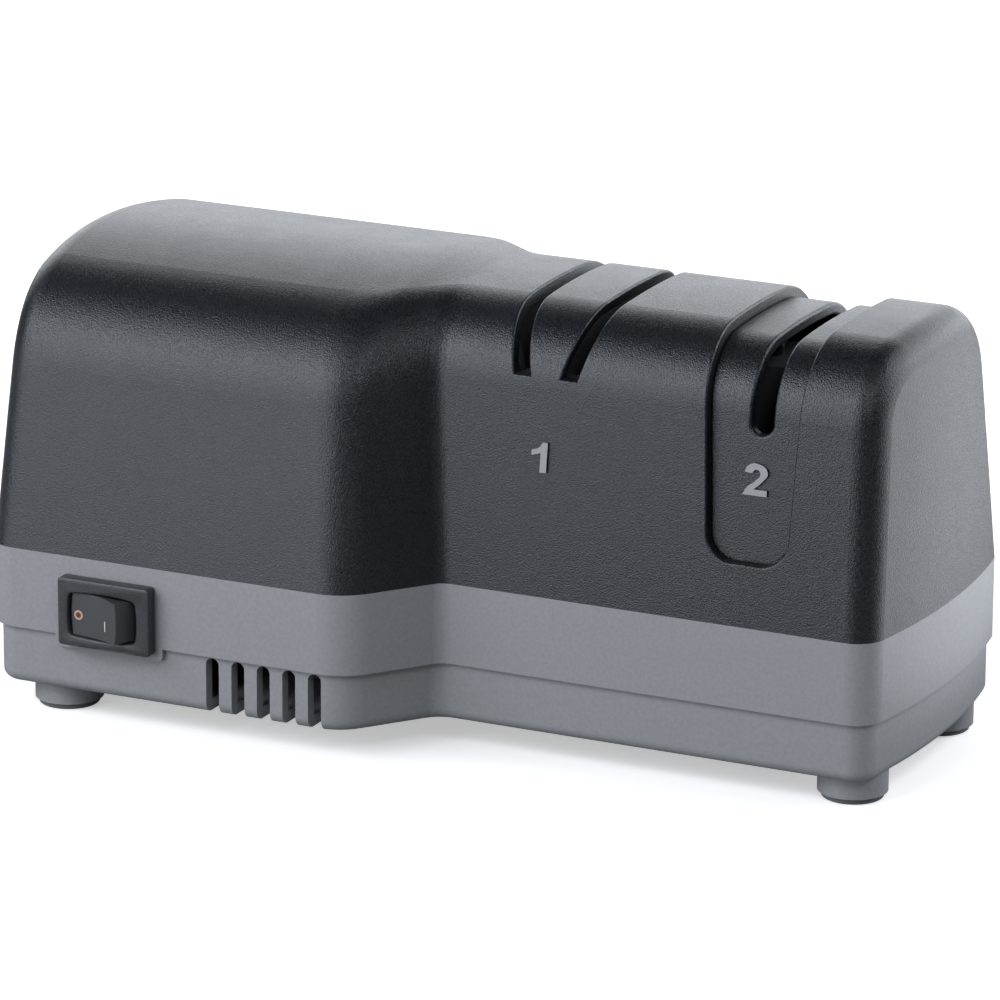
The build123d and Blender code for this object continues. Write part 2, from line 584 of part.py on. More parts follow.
with BuildPart() as base_housing:
    extrude(skirt_plan, amount=SPLIT_Z - TUB_Z, dir=(0, 0, -1))
    fillet(base_housing.edges().group_by(Axis.Z)[0], radius=TUB_ROUND)
    extrude(band_plan, amount=SPLIT_Z - STEP_Z, dir=(0, 0, -1))
    # raised pad under the switch bezel, flush with the band
    with BuildSketch(Plane.XZ.offset(MOTOR_HALF)):
        with Locations((SWITCH_X, STEP_Z)):
            RectangleRounded(BEZEL_LENGTH + 2 * PAD_SIDE, 2 * (STEP_Z - PAD_Z), PAD_ROUND)
    extrude(amount=-TUB_WALL)
    # rim that locates the upper housing, then the cavity
    extrude(rim_plan, amount=RIM_HEIGHT, dir=(0, 0, 1))
    extrude(tub_plan, amount=SPLIT_Z - FLOOR_Z, dir=(0, 0, -1), mode=Mode.SUBTRACT)
    extrude(tub_plan, amount=RIM_HEIGHT, dir=(0, 0, 1), mode=Mode.SUBTRACT)
    # foot posts and the pillars above them, bored for the housing screws
    with Locations(*[(x, y, PAD_VISIBLE) for x, y in FEET]):
        Cylinder(FOOT_RADIUS, FLOOR_Z - PAD_VISIBLE, align=UP)
    with Locations(*[(x, y, FLOOR_Z) for x, y in FEET]):
        Cylinder(PILLAR_RADIUS, SPLIT_Z - FLOOR_Z, align=UP)
    with Locations(*[(x, y, PAD_VISIBLE) for x, y in FEET]):
        Cylinder(PILLAR_HOLE, SCREW_SEAT_Z - PAD_VISIBLE, align=UP, mode=Mode.SUBTRACT)
        Cylinder(SCREW_RADIUS + CLEAR, SPLIT_Z - PAD_VISIBLE, align=UP, mode=Mode.SUBTRACT)
    # vents in the skirt, open at the bottom, front and rear
    for way in (-1, 1):
        with BuildSketch(Plane.XZ.offset(way * MOTOR_HALF)):
            for index in range(VENT_COUNT):
                with Locations((VENT_X + index * VENT_PITCH, vent_top)):
                    Circle(VENT_WIDTH / 2)
                    Rectangle(VENT_WIDTH, vent_top, align=(Align.CENTER, Align.MAX))
        extrude(amount=-way * VENT_DEPTH, mode=Mode.SUBTRACT)
    # switch cut-out in the front wall, gland hole in the rear wall
    with BuildSketch(Plane.XZ.offset(MOTOR_HALF)):
        with Locations((SWITCH_X, SWITCH_Z)):
            Rectangle(switch_length + 2 * CLEAR, switch_height + 2 * CLEAR)
    extrude(amount=-2 * TUB_WALL, mode=Mode.SUBTRACT)
    with BuildSketch(Plane.XZ.offset(-MOTOR_HALF)):
        with Locations((GLAND_X, GLAND_Z)):
            Circle(GLAND_NECK + FIT)
    extrude(amount=2 * TUB_WALL, mode=Mode.SUBTRACT)
    # saddle for the cord clamp
    with Locations((GLAND_X, clamp_y, FLOOR_Z)):
        Box(CLAMP_LENGTH, CLAMP_WIDTH, saddle_z - FLOOR_Z, align=UP)
    with Locations((GLAND_X, clamp_y, GLAND_Z)):
        Cylinder(GLAND_BORE, CLAMP_WIDTH, rotation=(90, 0, 0), mode=Mode.SUBTRACT)
    with Locations(*[(GLAND_X + side * CLAMP_SCREW_X, clamp_y, saddle_z) for side in (-1, 1)]):
        Cylinder(SMALL_SCREW + FIT, SMALL_SCREW_LENGTH, align=DOWN, mode=Mode.SUBTRACT)
    # bosses under the motor's feet
    with Locations(*[(x, y, FLOOR_Z) for x, y in MOTOR_FEET]):
        Cylinder(GROMMET_RADIUS, MOUNT_Z - FLOOR_Z, align=UP)
    with Locations(*[(x, y, MOUNT_Z) for x, y in MOTOR_FEET]):
        Cylinder(SCREW_RADIUS + FIT, MOUNT_PILOT, align=DOWN, mode=Mode.SUBTRACT)
    # sockets for the filings magnets
    with Locations(*[(STAGE1_X, side * MAGNET_Y, FLOOR_Z) for side in (-1, 1)]):
        Cylinder(MAGNET_RADIUS + FIT + SOCKET_WALL, MAGNET_THICK, align=UP)
        Cylinder(MAGNET_RADIUS + FIT, MAGNET_THICK, align=UP, mode=Mode.SUBTRACT)
    # rails that hold the dust bulkhead's edges
    with Locations(*[
        (rail_x + side * rail_off, way * rail_y, FLOOR_Z)
        for side in (-1, 1)
        for way in (-1, 1)
    ]):
        Box(RAIL, rail_length, RAIL_TOP - FLOOR_Z, align=UP)
    # channel of the clean-out cover and the opening above it
    with Locations((channel_middle, 0, TUB_Z + TUB_ROUND / 2)):
        Box(
            channel_length + 2 * CHANNEL_WALL, 2 * (channel_half + CHANNEL_WALL),
            channel_top_z - TUB_Z - TUB_ROUND / 2, align=UP,
        )
    with Locations((channel_middle, 0, TUB_Z)):
        Box(channel_length, 2 * (COVER_HALF + SLIDE), COVER_LIP, align=UP, mode=Mode.SUBTRACT)
    with Locations((channel_middle, 0, channel_lip_z)):
        Box(
            channel_length, 2 * channel_half, channel_roof_z - channel_lip_z,
            align=UP, mode=Mode.SUBTRACT,
        )
    with Locations((COVER_X, 0, channel_roof_z)):
        Box(
            COVER_LENGTH - 2 * CHANNEL_WALL, 2 * COVER_HALF - 2 * CHANNEL_WALL,
            CHANNEL_WALL, align=UP, mode=Mode.SUBTRACT,
        )
finish(base_housing, "base_housing")

# ---------------------------------------------------------------- feet and housing screws
with BuildPart() as rubber_feet:
    with Locations(*[(x, y, 0) for x, y in FEET]):
        Cylinder(PAD_RADIUS, PAD_VISIBLE, align=UP)
        Cylinder(PILLAR_HOLE - FIT, PAD_VISIBLE + PAD_PLUG, align=UP)
    fillet(rubber_feet.edges().group_by(Axis.Z)[0], radius=PAD_EDGE)
finish(rubber_feet, "rubber_feet")


def screws(places, seat_z, shank, length, head, head_height, up=True):
    """Pan-head screws with the heads' seats at seat_z, pointing up or down."""
    way = 1 if up else -1
    along = UP if up else DOWN
    against = DOWN if up else UP
    with BuildPart() as group:
        with Locations(*[(x, y, seat_z) for x, y in places]):
            Cylinder(shank, length, align=along)
            Cylinder(head, head_height, align=against)
        rims = group.edges().group_by(Axis.Z)[0 if up else -1]
        fillet(rims, radius=head_height / 2)
        tips = group.edges().group_by(Axis.Z)[-1 if up else 0]
        chamfer(tips, length=shank / 2)
    return group


housing_screws = screws(
    FEET, SCREW_SEAT_Z, SCREW_RADIUS, SCREW_LENGTH, SCREW_HEAD_RADIUS, SCREW_HEAD
)
finish(housing_screws, "housing_screws")

# ---------------------------------------------------------------- switch
switch_y = -MOTOR_HALF - BEZEL_THICK
pivot_y = switch_y + ROCKER_PIVOT
opening_radius = SWITCH_OPENING / 2
rocker_radius = opening_radius - ROCKER_CLEAR
with BuildPart() as switch_body:
    with BuildSketch(Plane.XZ.offset(MOTOR_HALF)):
        with Locations((SWITCH_X, SWITCH_Z)):
            RectangleRounded(BEZEL_LENGTH, BEZEL_HEIGHT, BEZEL_ROUND)
    extrude(amount=BEZEL_THICK)
    chamfer(switch_body.edges().group_by(Axis.Y)[0], length=BEZEL_CHAMFER)
    with BuildSketch(Plane.XZ.offset(MOTOR_HALF)):
        with Locations((SWITCH_X, SWITCH_Z)):
            Rectangle(switch_length, switch_height)
    extrude(amount=-SWITCH_DEPTH)
    # snap wings behind the wall
    wing_y = -MOTOR_HALF + TUB_WALL + CLEAR
    with Locations(*[(SWITCH_X + side * switch_length / 2, wing_y, SWITCH_Z) for side in (-1, 1)]):
        Box(2 * WING, WING_LENGTH, WING_HEIGHT, align=(Align.CENTER, Align.MIN, Align.CENTER))
    # well of the rocker, round at its floor, with the bores of the trunnions
    with BuildSketch(Plane.XY.offset(SWITCH_Z - SWITCH_OPENING_HEIGHT / 2)):
        with Locations((SWITCH_X, pivot_y)):
            Circle(opening_radius)
            Rectangle(SWITCH_OPENING, 2 * ROCKER_PIVOT, align=(Align.CENTER, Align.MAX))
    extrude(amount=SWITCH_OPENING_HEIGHT, mode=Mode.SUBTRACT)
    with Locations((SWITCH_X, pivot_y, SWITCH_Z)):
        Cylinder(
            TRUNNION_RADIUS + RUNNING, SWITCH_OPENING_HEIGHT + 2 * TRUNNION_LENGTH + 2 * CLEAR,
            mode=Mode.SUBTRACT,
        )
finish(switch_body, "switch_body")

rocker_turn = Axis((SWITCH_X, pivot_y, 0), (0, 0, 1))
with BuildPart() as rocker_blank:
    with BuildSketch(Plane.XY.offset(SWITCH_Z - rocker_height / 2)):
        with BuildLine():
            right = (SWITCH_X + rocker_radius, pivot_y)
            left = (SWITCH_X - rocker_radius, pivot_y)
            right_ridge = (SWITCH_X + ROCKER_RIDGE_X, pivot_y - ROCKER_RIDGE_Y)
            left_ridge = (SWITCH_X - ROCKER_RIDGE_X, pivot_y - ROCKER_RIDGE_Y)
            ThreePointArc(left, (SWITCH_X, pivot_y + rocker_radius), right)
            Line(right, right_ridge)
            ThreePointArc(right_ridge, (SWITCH_X, pivot_y - ROCKER_VALLEY_Y), left_ridge)
            Line(left_ridge, left)
        make_face()
    extrude(amount=rocker_height)
    with Locations((SWITCH_X, pivot_y, SWITCH_Z)):
        Cylinder(TRUNNION_RADIUS, rocker_height + 2 * TRUNNION_LENGTH)
with BuildPart() as switch_rocker:
    add(rocker_blank.part.rotate(rocker_turn, -ROCKER_TILT))
finish(switch_rocker, "switch_rocker")

with BuildPart() as switch_terminals:
    with Locations(*[
        (SWITCH_X + side * TERMINAL_X, -MOTOR_HALF + SWITCH_DEPTH, SWITCH_Z) for side in (-1, 1)
    ]):
        Box(
            TERMINAL_THICK, TERMINAL_LENGTH, TERMINAL_HEIGHT,
            align=(Align.CENTER, Align.MIN, Align.CENTER),
        )
finish(switch_terminals, "switch_terminals")

# ---------------------------------------------------------------- cord inlet
with BuildPart() as cord_gland:
    with BuildSketch(Plane.XY.offset(GLAND_Z)):
        with BuildLine():
            Polyline(
                (GLAND_X + GLAND_BORE, gland_in),
                (GLAND_X + GLAND_NECK + GLAND_LIP, gland_in),
                (GLAND_X + GLAND_NECK + GLAND_LIP, wall_in),
                (GLAND_X + GLAND_NECK, wall_in),
                (GLAND_X + GLAND_NECK, MOTOR_HALF),
                (GLAND_X + GLAND_FLANGE, MOTOR_HALF),
                (GLAND_X + GLAND_FLANGE, MOTOR_HALF + GLAND_RIM),
                (GLAND_X + GLAND_NECK + GLAND_STEP, MOTOR_HALF + GLAND_RIM + GLAND_STEP),
                (GLAND_X + GLAND_NECK, MOTOR_HALF + GLAND_REACH),
                (GLAND_X + GLAND_BORE, MOTOR_HALF + GLAND_REACH),
                close=True,
            )
        make_face()
    revolve(axis=Axis((GLAND_X, 0, GLAND_Z), (0, 1, 0)))
finish(cord_gland, "cord_gland")

with BuildPart() as cord_clamp:
    with Locations((GLAND_X, clamp_y, saddle_z)):
        Box(CLAMP_LENGTH, CLAMP_WIDTH, CLAMP_THICK, align=UP)
    fillet(cord_clamp.edges().filter_by(Axis.Z), radius=CLAMP_ROUND)
    with Locations((GLAND_X, clamp_y, GLAND_Z)):
        Cylinder(GLAND_BORE, CLAMP_WIDTH, rotation=(90, 0, 0), mode=Mode.SUBTRACT)
    with Locations(*[(GLAND_X + side * CLAMP_SCREW_X, clamp_y, saddle_z) for side in (-1, 1)]):
        Cylinder(SMALL_SCREW + CLEAR, CLAMP_THICK, align=UP, mode=Mode.SUBTRACT)
finish(cord_clamp, "cord_clamp")

clamp_screws = screws(
    [(GLAND_X + side * CLAMP_SCREW_X, clamp_y) for side in (-1, 1)], saddle_z + CLAMP_THICK,
    SMALL_SCREW, SMALL_SCREW_LENGTH, SMALL_SCREW_HEAD, SMALL_SCREW_HEIGHT, up=False,
)
finish(clamp_screws, "clamp_screws")

# ---------------------------------------------------------------- motor
core_top_z = SHAFT_Z + CORE_TOP
window_z = CORE_LOW + BAR
stack_left = MOTOR_X - STACK / 2
with BuildPart() as stator_core:
    with BuildSketch(Plane.YZ.offset(stack_left)) as lamination:
        with Locations((0, CORE_LOW)):
            Rectangle(2 * CORE_HALF, core_top_z - CORE_LOW, align=(Align.CENTER, Align.MIN))
        chamfer(lamination.vertices().group_by(Axis.Z)[-1], length=CORE_CORNER)
        with Locations((0, window_z)):
            Rectangle(
                2 * (CORE_HALF - LEG), WINDOW, align=(Align.CENTER, Align.MIN),
                mode=Mode.SUBTRACT,
            )
        # magnetic necks over and under the bore
        neck = ROTOR_RADIUS + AIR_GAP + NECK
        with Locations((0, SHAFT_Z + neck)):
            Rectangle(NECK_WIDTH, TALL, align=(Align.CENTER, Align.MIN), mode=Mode.SUBTRACT)
        with Locations((0, SHAFT_Z - neck)):
            Rectangle(
                NECK_WIDTH, SHAFT_Z - neck - window_z - WINDOW,
                align=(Align.CENTER, Align.MAX), mode=Mode.SUBTRACT,
            )
        # shading slots in opposite pole tips
        with Locations((0, SHAFT_Z)):
            with PolarLocations(SHADING_RADIUS, 2, SHADING_ANGLE):
                with Locations((0, SHADING_HALF), (0, -SHADING_HALF)):
                    Rectangle(SHADING_SLOT, SHADING_WIRE + 2 * SHADING_CLEAR, mode=Mode.SUBTRACT)
            Circle(ROTOR_RADIUS + AIR_GAP, mode=Mode.SUBTRACT)
        with Locations(*[(side * BOLT_Y, SHAFT_Z) for side in (-1, 1)]):
            Circle(BOLT_RADIUS + CLEAR, mode=Mode.SUBTRACT)
    extrude(amount=STACK)
finish(stator_core, "stator_core")

with BuildPart() as shading_rings:
    with BuildSketch(Plane.YZ.offset(stack_left - SHADING_WIRE)):
        with Locations((0, SHAFT_Z)):
            with PolarLocations(SHADING_RADIUS, 2, SHADING_ANGLE):
                Rectangle(SHADING_WIRE, 2 * SHADING_HALF + SHADING_WIRE)
    extrude(amount=STACK + 2 * SHADING_WIRE)
    with BuildSketch(Plane.YZ.offset(stack_left)):
        with Locations((0, SHAFT_Z)):
            with PolarLocations(SHADING_RADIUS, 2, SHADING_ANGLE):
                Rectangle(TALL / 10, 2 * SHADING_HALF - SHADING_WIRE)
    extrude(amount=STACK, mode=Mode.SUBTRACT)
finish(shading_rings, "shading_rings")

bar_z = CORE_LOW + BAR / 2
sleeve_x = STACK + 2 * (CLEAR + BOBBIN_WALL)
sleeve_z = BAR + 2 * (CLEAR + BOBBIN_WALL)
with BuildPart() as coil_bobbin:
    with BuildSketch(Plane.XZ.offset(-COIL_HALF)):
        with Locations((MOTOR_X, bar_z)):
            Rectangle(sleeve_x, sleeve_z)
    extrude(amount=2 * COIL_HALF)
    for start in (-COIL_HALF, COIL_HALF - BOBBIN_WALL):
        with BuildSketch(Plane.XZ.offset(start)):
            with Locations((MOTOR_X, bar_z)):
                RectangleRounded(
                    sleeve_x + 2 * (COIL_BUILD + BOBBIN_RIM),
                    sleeve_z + 2 * (COIL_BUILD + BOBBIN_RIM), BOBBIN_ROUND,
                )
        extrude(amount=BOBBIN_WALL)
    with BuildSketch(Plane.XZ.offset(-COIL_HALF)):
        with Locations((MOTOR_X, bar_z)):
            Rectangle(STACK + 2 * CLEAR, BAR + 2 * CLEAR)
    extrude(amount=2 * COIL_HALF, mode=Mode.SUBTRACT)
finish(coil_bobbin, "coil_bobbin")

winding_half = COIL_HALF - BOBBIN_WALL - FIT
with BuildPart() as field_winding:
    with BuildSketch(Plane.XZ.offset(-winding_half)):
        with Locations((MOTOR_X, bar_z)):
            RectangleRounded(sleeve_x + 2 * COIL_BUILD, sleeve_z + 2 * COIL_BUILD, COIL_ROUND)
            Rectangle(sleeve_x + 2 * FIT, sleeve_z + 2 * FIT, mode=Mode.SUBTRACT)
    extrude(amount=2 * winding_half)
finish(field_winding, "field_winding")


def bearing_bridge(side):
    """Die-cast bearing bridge at one end of the motor, with its two feet."""
    inner = MOTOR_X + side * (STACK / 2 + BRIDGE_GAP)
    outer = inner + side * BRIDGE_THICK
    low_x = min(inner, outer)
    foot_end = inner + side * FOOT_REACH
    with BuildPart() as bridge:
        with BuildSketch(Plane.YZ.offset(low_x)):
            with Locations((0, SHAFT_Z)):
                SlotCenterToCenter(2 * BOLT_Y, BRIDGE_ARM)
                Circle(BOSS_RADIUS + BOSS_RIM)
            for way in (-1, 1):
                with Locations((way * BOLT_Y, FOOT_Z)):
                    Rectangle(LEG_WIDTH, SHAFT_Z - FOOT_Z, align=(Align.CENTER, Align.MIN))
        extrude(amount=BRIDGE_THICK)
        with Locations((outer, 0, SHAFT_Z)):
            Cylinder(BOSS_RADIUS, BEARING_LENGTH, rotation=(0, 90, 0))
        for way in (-1, 1):
            with Locations(((inner + foot_end) / 2, way * BOLT_Y, FOOT_Z)):
                Box(FOOT_REACH, LEG_WIDTH + 2, BRIDGE_THICK, align=UP)
            with Locations((inner - side * BRIDGE_GAP / 2, way * BOLT_Y, SHAFT_Z)):
                Cylinder(BRIDGE_ARM / 2 - 1, BRIDGE_GAP, rotation=(0, 90, 0))
            with Locations((inner - side * BRIDGE_GAP / 2, way * BOLT_Y, SHAFT_Z)):
                Cylinder(BOLT_RADIUS + CLEAR, TALL / 2, rotation=(0, 90, 0), mode=Mode.SUBTRACT)
            with Locations((inner + side * FOOT_SCREW, way * BOLT_Y, FOOT_Z)):
                Cylinder(SCREW_RADIUS + CLEAR, BRIDGE_THICK, align=UP, mode=Mode.SUBTRACT)
        with Locations((outer, 0, SHAFT_Z)):
            Cylinder(BEARING_RADIUS + FIT, TALL / 2, rotation=(0, 90, 0), mode=Mode.SUBTRACT)
    return bridge


bearing_bridge_left = bearing_bridge(-1)
finish(bearing_bridge_left, "bearing_bridge_left")
bearing_bridge_right = bearing_bridge(1)
finish(bearing_bridge_right, "bearing_bridge_right")

bridge_outer = STACK / 2 + BRIDGE_GAP + BRIDGE_THICK
for side, node in ((-1, "bearing_left"), (1, "bearing_right")):
    with BuildPart() as bearing:
        with Locations((MOTOR_X + side * bridge_outer, 0, SHAFT_Z)):
            Cylinder(BEARING_RADIUS, BEARING_LENGTH, rotation=(0, 90, 0))
            Cylinder(
                SHAFT_RADIUS + RUNNING, BEARING_LENGTH, rotation=(0, 90, 0), mode=Mode.SUBTRACT
            )
    finish(bearing, node)

with BuildPart() as motor_bolts:
    for way in (-1, 1):
        with Locations((MOTOR_X - bridge_outer, way * BOLT_Y, SHAFT_Z)):
            Cylinder(
                BOLT_RADIUS, 2 * bridge_outer + NUT + BOLT_TAIL, rotation=(0, 90, 0), align=UP
            )
            Cylinder(BOLT_HEAD_RADIUS, BOLT_HEAD, rotation=(0, -90, 0), align=UP)
finish(motor_bolts, "motor_bolts")

with BuildPart() as motor_nuts:
    with BuildSketch(Plane.YZ.offset(MOTOR_X + bridge_outer)):
        with Locations(*[(way * BOLT_Y, SHAFT_Z) for way in (-1, 1)]):
            RegularPolygon(BOLT_HEAD_RADIUS, 6, major_radius=False)
            Circle(BOLT_RADIUS + FIT, mode=Mode.SUBTRACT)
    extrude(amount=NUT)
finish(motor_nuts, "motor_nuts")

with BuildPart() as motor_grommets:
    with Locations(*[(x, y, MOUNT_Z) for x, y in MOTOR_FEET]):
        Cylinder(GROMMET_RADIUS, GROMMET, align=UP)
        Cylinder(SCREW_RADIUS + CLEAR, GROMMET, align=UP, mode=Mode.SUBTRACT)
finish(motor_grommets, "motor_grommets")

motor_mount_screws = screws(
    MOTOR_FEET, FOOT_Z + BRIDGE_THICK, SCREW_RADIUS, MOUNT_SCREW_LENGTH, SCREW_HEAD_RADIUS,
    SCREW_HEAD, up=False,
)
finish(motor_mount_screws, "motor_mount_screws")

# ---------------------------------------------------------------- turning parts
pin_x = DISK_FACE + DISK_HUB - PIN_SLOT + PIN_RADIUS + FIT
shaft_left = LEFT_X + SHAFT_IN
shaft_length = STAGE1_X + SHAFT_TAIL - shaft_left
with BuildPart() as motor_shaft:
    with Locations((shaft_left, 0, SHAFT_Z)):
        Cylinder(SHAFT_RADIUS, shaft_length, rotation=(0, 90, 0), align=UP)
    chamfer(motor_shaft.edges().filter_by(GeomType.CIRCLE), length=SHAFT_CHAMFER)
    with Locations(*[(STAGE1_X + side * pin_x, 0, SHAFT_Z) for side in (-1, 1)]):
        Cylinder(PIN_RADIUS + FIT, 2 * SHAFT_RADIUS + 2, mode=Mode.SUBTRACT)
finish(motor_shaft, "motor_shaft")

with BuildPart() as rotor_core:
    with Locations((MOTOR_X, 0, SHAFT_Z)):
        Cylinder(ROTOR_RADIUS, STACK, rotation=(0, 90, 0))
        Cylinder(ROTOR_RADIUS - END_RING_STEP, STACK + 2 * END_RING, rotation=(0, 90, 0))
        Cylinder(
            SHAFT_RADIUS + FIT, STACK + 2 * END_RING, rotation=(0, 90, 0), mode=Mode.SUBTRACT
        )
finish(rotor_core, "rotor_core")

fan_left = MOTOR_X + bridge_outer + BEARING_LENGTH / 2 + FAN_GAP
with BuildPart() as cooling_fan:
    with BuildSketch(Plane.YZ.offset(fan_left)):
        with Locations((0, SHAFT_Z)):
            Circle(FAN_RADIUS)
    extrude(amount=FAN_PLATE)
    with BuildSketch(Plane.YZ.offset(fan_left + FAN_PLATE)):
        with Locations((0, SHAFT_Z)):
            with PolarLocations(0, FAN_BLADES):
                with Locations((FAN_BLADE_MIDDLE, 0)):
                    Rectangle(FAN_BLADE_LENGTH, FAN_BLADE, rotation=FAN_BLADE_ANGLE)
    extrude(amount=FAN_WIDTH)
    with Locations((fan_left, 0, SHAFT_Z)):
        Cylinder(FAN_HUB, FAN_PLATE + FAN_WIDTH, rotation=(0, 90, 0), align=UP)
        Cylinder(
            SHAFT_RADIUS + FIT, FAN_PLATE + FAN_WIDTH, rotation=(0, 90, 0), align=UP,
            mode=Mode.SUBTRACT,
        )
finish(cooling_fan, "cooling_fan")

# ---------------------------------------------------------------- stage 1 disks
for side, node in ((-1, "disk_left"), (1, "disk_right")):
    face = STAGE1_X + side * DISK_FACE
    turn = (0, 90, 0) if side > 0 else (0, -90, 0)
    with BuildPart() as disk:
        with Locations((face, 0, SHAFT_Z)):
            Cylinder(DISK_RADIUS, DISK_THICK, rotation=turn, align=DOWN)
            Cylinder(DISK_HUB_RADIUS, DISK_HUB, rotation=turn, align=UP)
        with Locations((STAGE1_X, 0, SHAFT_Z)):
            Cylinder(SHAFT_RADIUS + RUNNING, TALL / 2, rotation=turn, mode=Mode.SUBTRACT)
        # driving slot for the cross pin, open at the hub's end
        with Locations((face + side * DISK_HUB, 0, SHAFT_Z)):
            Box(
                2 * PIN_SLOT, 2 * DISK_HUB_RADIUS, 2 * PIN_RADIUS + 2 * RUNNING,
                rotation=(90, 0, 0), mode=Mode.SUBTRACT,
            )
    finish(disk, node)

with BuildPart() as drive_pins:
    with Locations(*[(STAGE1_X + side * pin_x, 0, SHAFT_Z) for side in (-1, 1)]):
        Cylinder(PIN_RADIUS, 2 * PIN_HALF)
finish(drive_pins, "drive_pins")

spring_gap = 2 * (DISK_FACE - DISK_THICK)
spring_height = spring_gap - 2 * SPRING_WIRE - 2 * FIT
with BuildPart() as disk_spring:
    with BuildLine():
        coil = Helix(
            spring_height / SPRING_TURNS, spring_height, SPRING_RADIUS,
            center=(STAGE1_X - spring_height / 2, 0, SHAFT_Z), direction=(1, 0, 0),
        )
    with BuildSketch(Plane(origin=coil @ 0, z_dir=coil % 0)):
        Circle(SPRING_WIRE)
    sweep()
finish(disk_spring, "disk_spring")

# ---------------------------------------------------------------- dust bulkhead
with BuildPart() as dust_bulkhead:
    with BuildSketch(Plane.YZ.offset(BULKHEAD_X)):
        with Locations((0, FLOOR_Z)):
            Rectangle(
                2 * (STAGE_HALF - TUB_WALL - SLIDE), SPLIT_Z + RIM_HEIGHT + SLIDE - FLOOR_Z,
                align=(Align.CENTER, Align.MIN),
            )
    extrude(amount=BULKHEAD)
    extrude(
        stage_arch(BULKHEAD_X, WALL + SLIDE, SPLIT_Z + RIM_HEIGHT + SLIDE), amount=BULKHEAD
    )
    with Locations((BULKHEAD_X, 0, SHAFT_Z)):
        Cylinder(
            SHAFT_RADIUS + BULKHEAD_BORE, TALL / 2, rotation=(0, 90, 0), mode=Mode.SUBTRACT
        )
finish(dust_bulkhead, "dust_bulkhead")

# ---------------------------------------------------------------- stage 1 blade guide
guide_out = GUIDE_Y + GUIDE_WALL / 2
foot_reach = GUIDE_SCREW_Y + GUIDE_EDGE - GUIDE_Y + GUIDE_WALL / 2

slot_half = SLOT1_WIDTH / 2 / cos(radians(SLOT1_LEAN))
wedge_low = SHAFT_Z + (WEDGE_FOOT + slot_half) / tan(radians(SLOT1_LEAN))
wedge_top = (STAGE_TOP - SHAFT_Z) * tan(radians(SLOT1_LEAN)) - slot_half
with BuildPart() as blade_guide:
    guide_left = BULKHEAD_X + BULKHEAD + SLIDE
    for way in (-1, 1):
        with Locations((guide_left, way * GUIDE_Y, GUIDE_LOW)):
            Box(
                GUIDE_LENGTH, GUIDE_WALL, TALL / 2,
                align=(Align.MIN, Align.CENTER, Align.MIN),
            )
    with BuildSketch(Plane.XZ.offset(-guide_out)):
        with BuildLine():
            Polyline(
                (STAGE1_X - WEDGE_FOOT, wedge_low),
                (STAGE1_X + WEDGE_FOOT, wedge_low),
                (STAGE1_X + wedge_top, STAGE_TOP),
                (STAGE1_X - wedge_top, STAGE_TOP),
                close=True,
            )
        make_face()
    extrude(amount=2 * guide_out)
    extrude(stage_arch(0, WALL + SLIDE, SPLIT_Z), amount=TALL, mode=Mode.INTERSECT)
    # feet that the screws hold to the housing
    for x, y in GUIDE_SCREWS:
        way = 1 if y > 0 else -1
        inner_y = GUIDE_Y - GUIDE_WALL / 2
        with Locations((x, way * (inner_y + foot_reach / 2), GUIDE_LOW)):
            Box(GUIDE_FOOT, foot_reach, GUIDE_WALL, align=UP)
    with Locations(*[(x, y, GUIDE_LOW) for x, y in GUIDE_SCREWS]):
        Cylinder(SMALL_SCREW + CLEAR, GUIDE_WALL, align=UP, mode=Mode.SUBTRACT)
    for side in (-1, 1):
        extrude(
            blade_slot(side, SLOT1_BOTTOM - SLIDE, SLOT1_WIDTH), amount=TALL, mode=Mode.SUBTRACT
        )
    # room for the disks
    with Locations((STAGE1_X, 0, SHAFT_Z)):
        Cylinder(DISK_RADIUS + DISK_CLEAR, TALL, rotation=(0, 90, 0), mode=Mode.SUBTRACT)
finish(blade_guide, "blade_guide")

guide_screws = screws(
    GUIDE_SCREWS, GUIDE_LOW, SMALL_SCREW, SMALL_SCREW_LENGTH, SMALL_SCREW_HEAD,
    SMALL_SCREW_HEIGHT,
)
finish(guide_screws, "guide_screws")

with BuildPart() as filings_magnets:
    with Locations(*[(STAGE1_X, side * MAGNET_Y, FLOOR_Z) for side in (-1, 1)]):
        Cylinder(MAGNET_RADIUS, MAGNET_THICK, align=UP)
finish(filings_magnets, "filings_magnets")

with BuildPart() as clean_out_cover:
    with Locations((COVER_X, 0, TUB_Z + SLIDE)):
        Box(COVER_LENGTH, 2 * COVER_HALF, COVER_LIP, align=UP)
    with Locations((COVER_X, 0, channel_lip_z + SLIDE)):
        Box(COVER_LENGTH, 2 * (COVER_HALF + COVER_LIP), COVER_FLANGE, align=UP)
    # finger grooves
    with Locations(*[
        (COVER_X + step * GROOVE_PITCH, 0, TUB_Z + SLIDE) for step in (-1, 0, 1)
    ]):
        Box(GROOVE, COVER_HALF, GROOVE_DEPTH, align=UP, mode=Mode.SUBTRACT)
finish(clean_out_cover, "clean_out_cover")

# ---------------------------------------------------------------- stage 2 insert and wheels
carrier_top_z = CARRIER_TOP + CARRIER_BRIDGE
insert_left = STAGE2_X - TALL / 4
flange_inset = WALL + SLIDE


def slot_2(width, bottom):
    """Outline in XZ of the upright stage 2 slot, round at its bottom."""
    with BuildSketch(Plane.XZ.offset(-TALL / 2)) as slot:
        with Locations((STAGE2_X, bottom + width / 2)):
            Circle(width / 2)
            Rectangle(width, TALL / 2, align=(Align.CENTER, Align.MIN))
    return slot.sketch


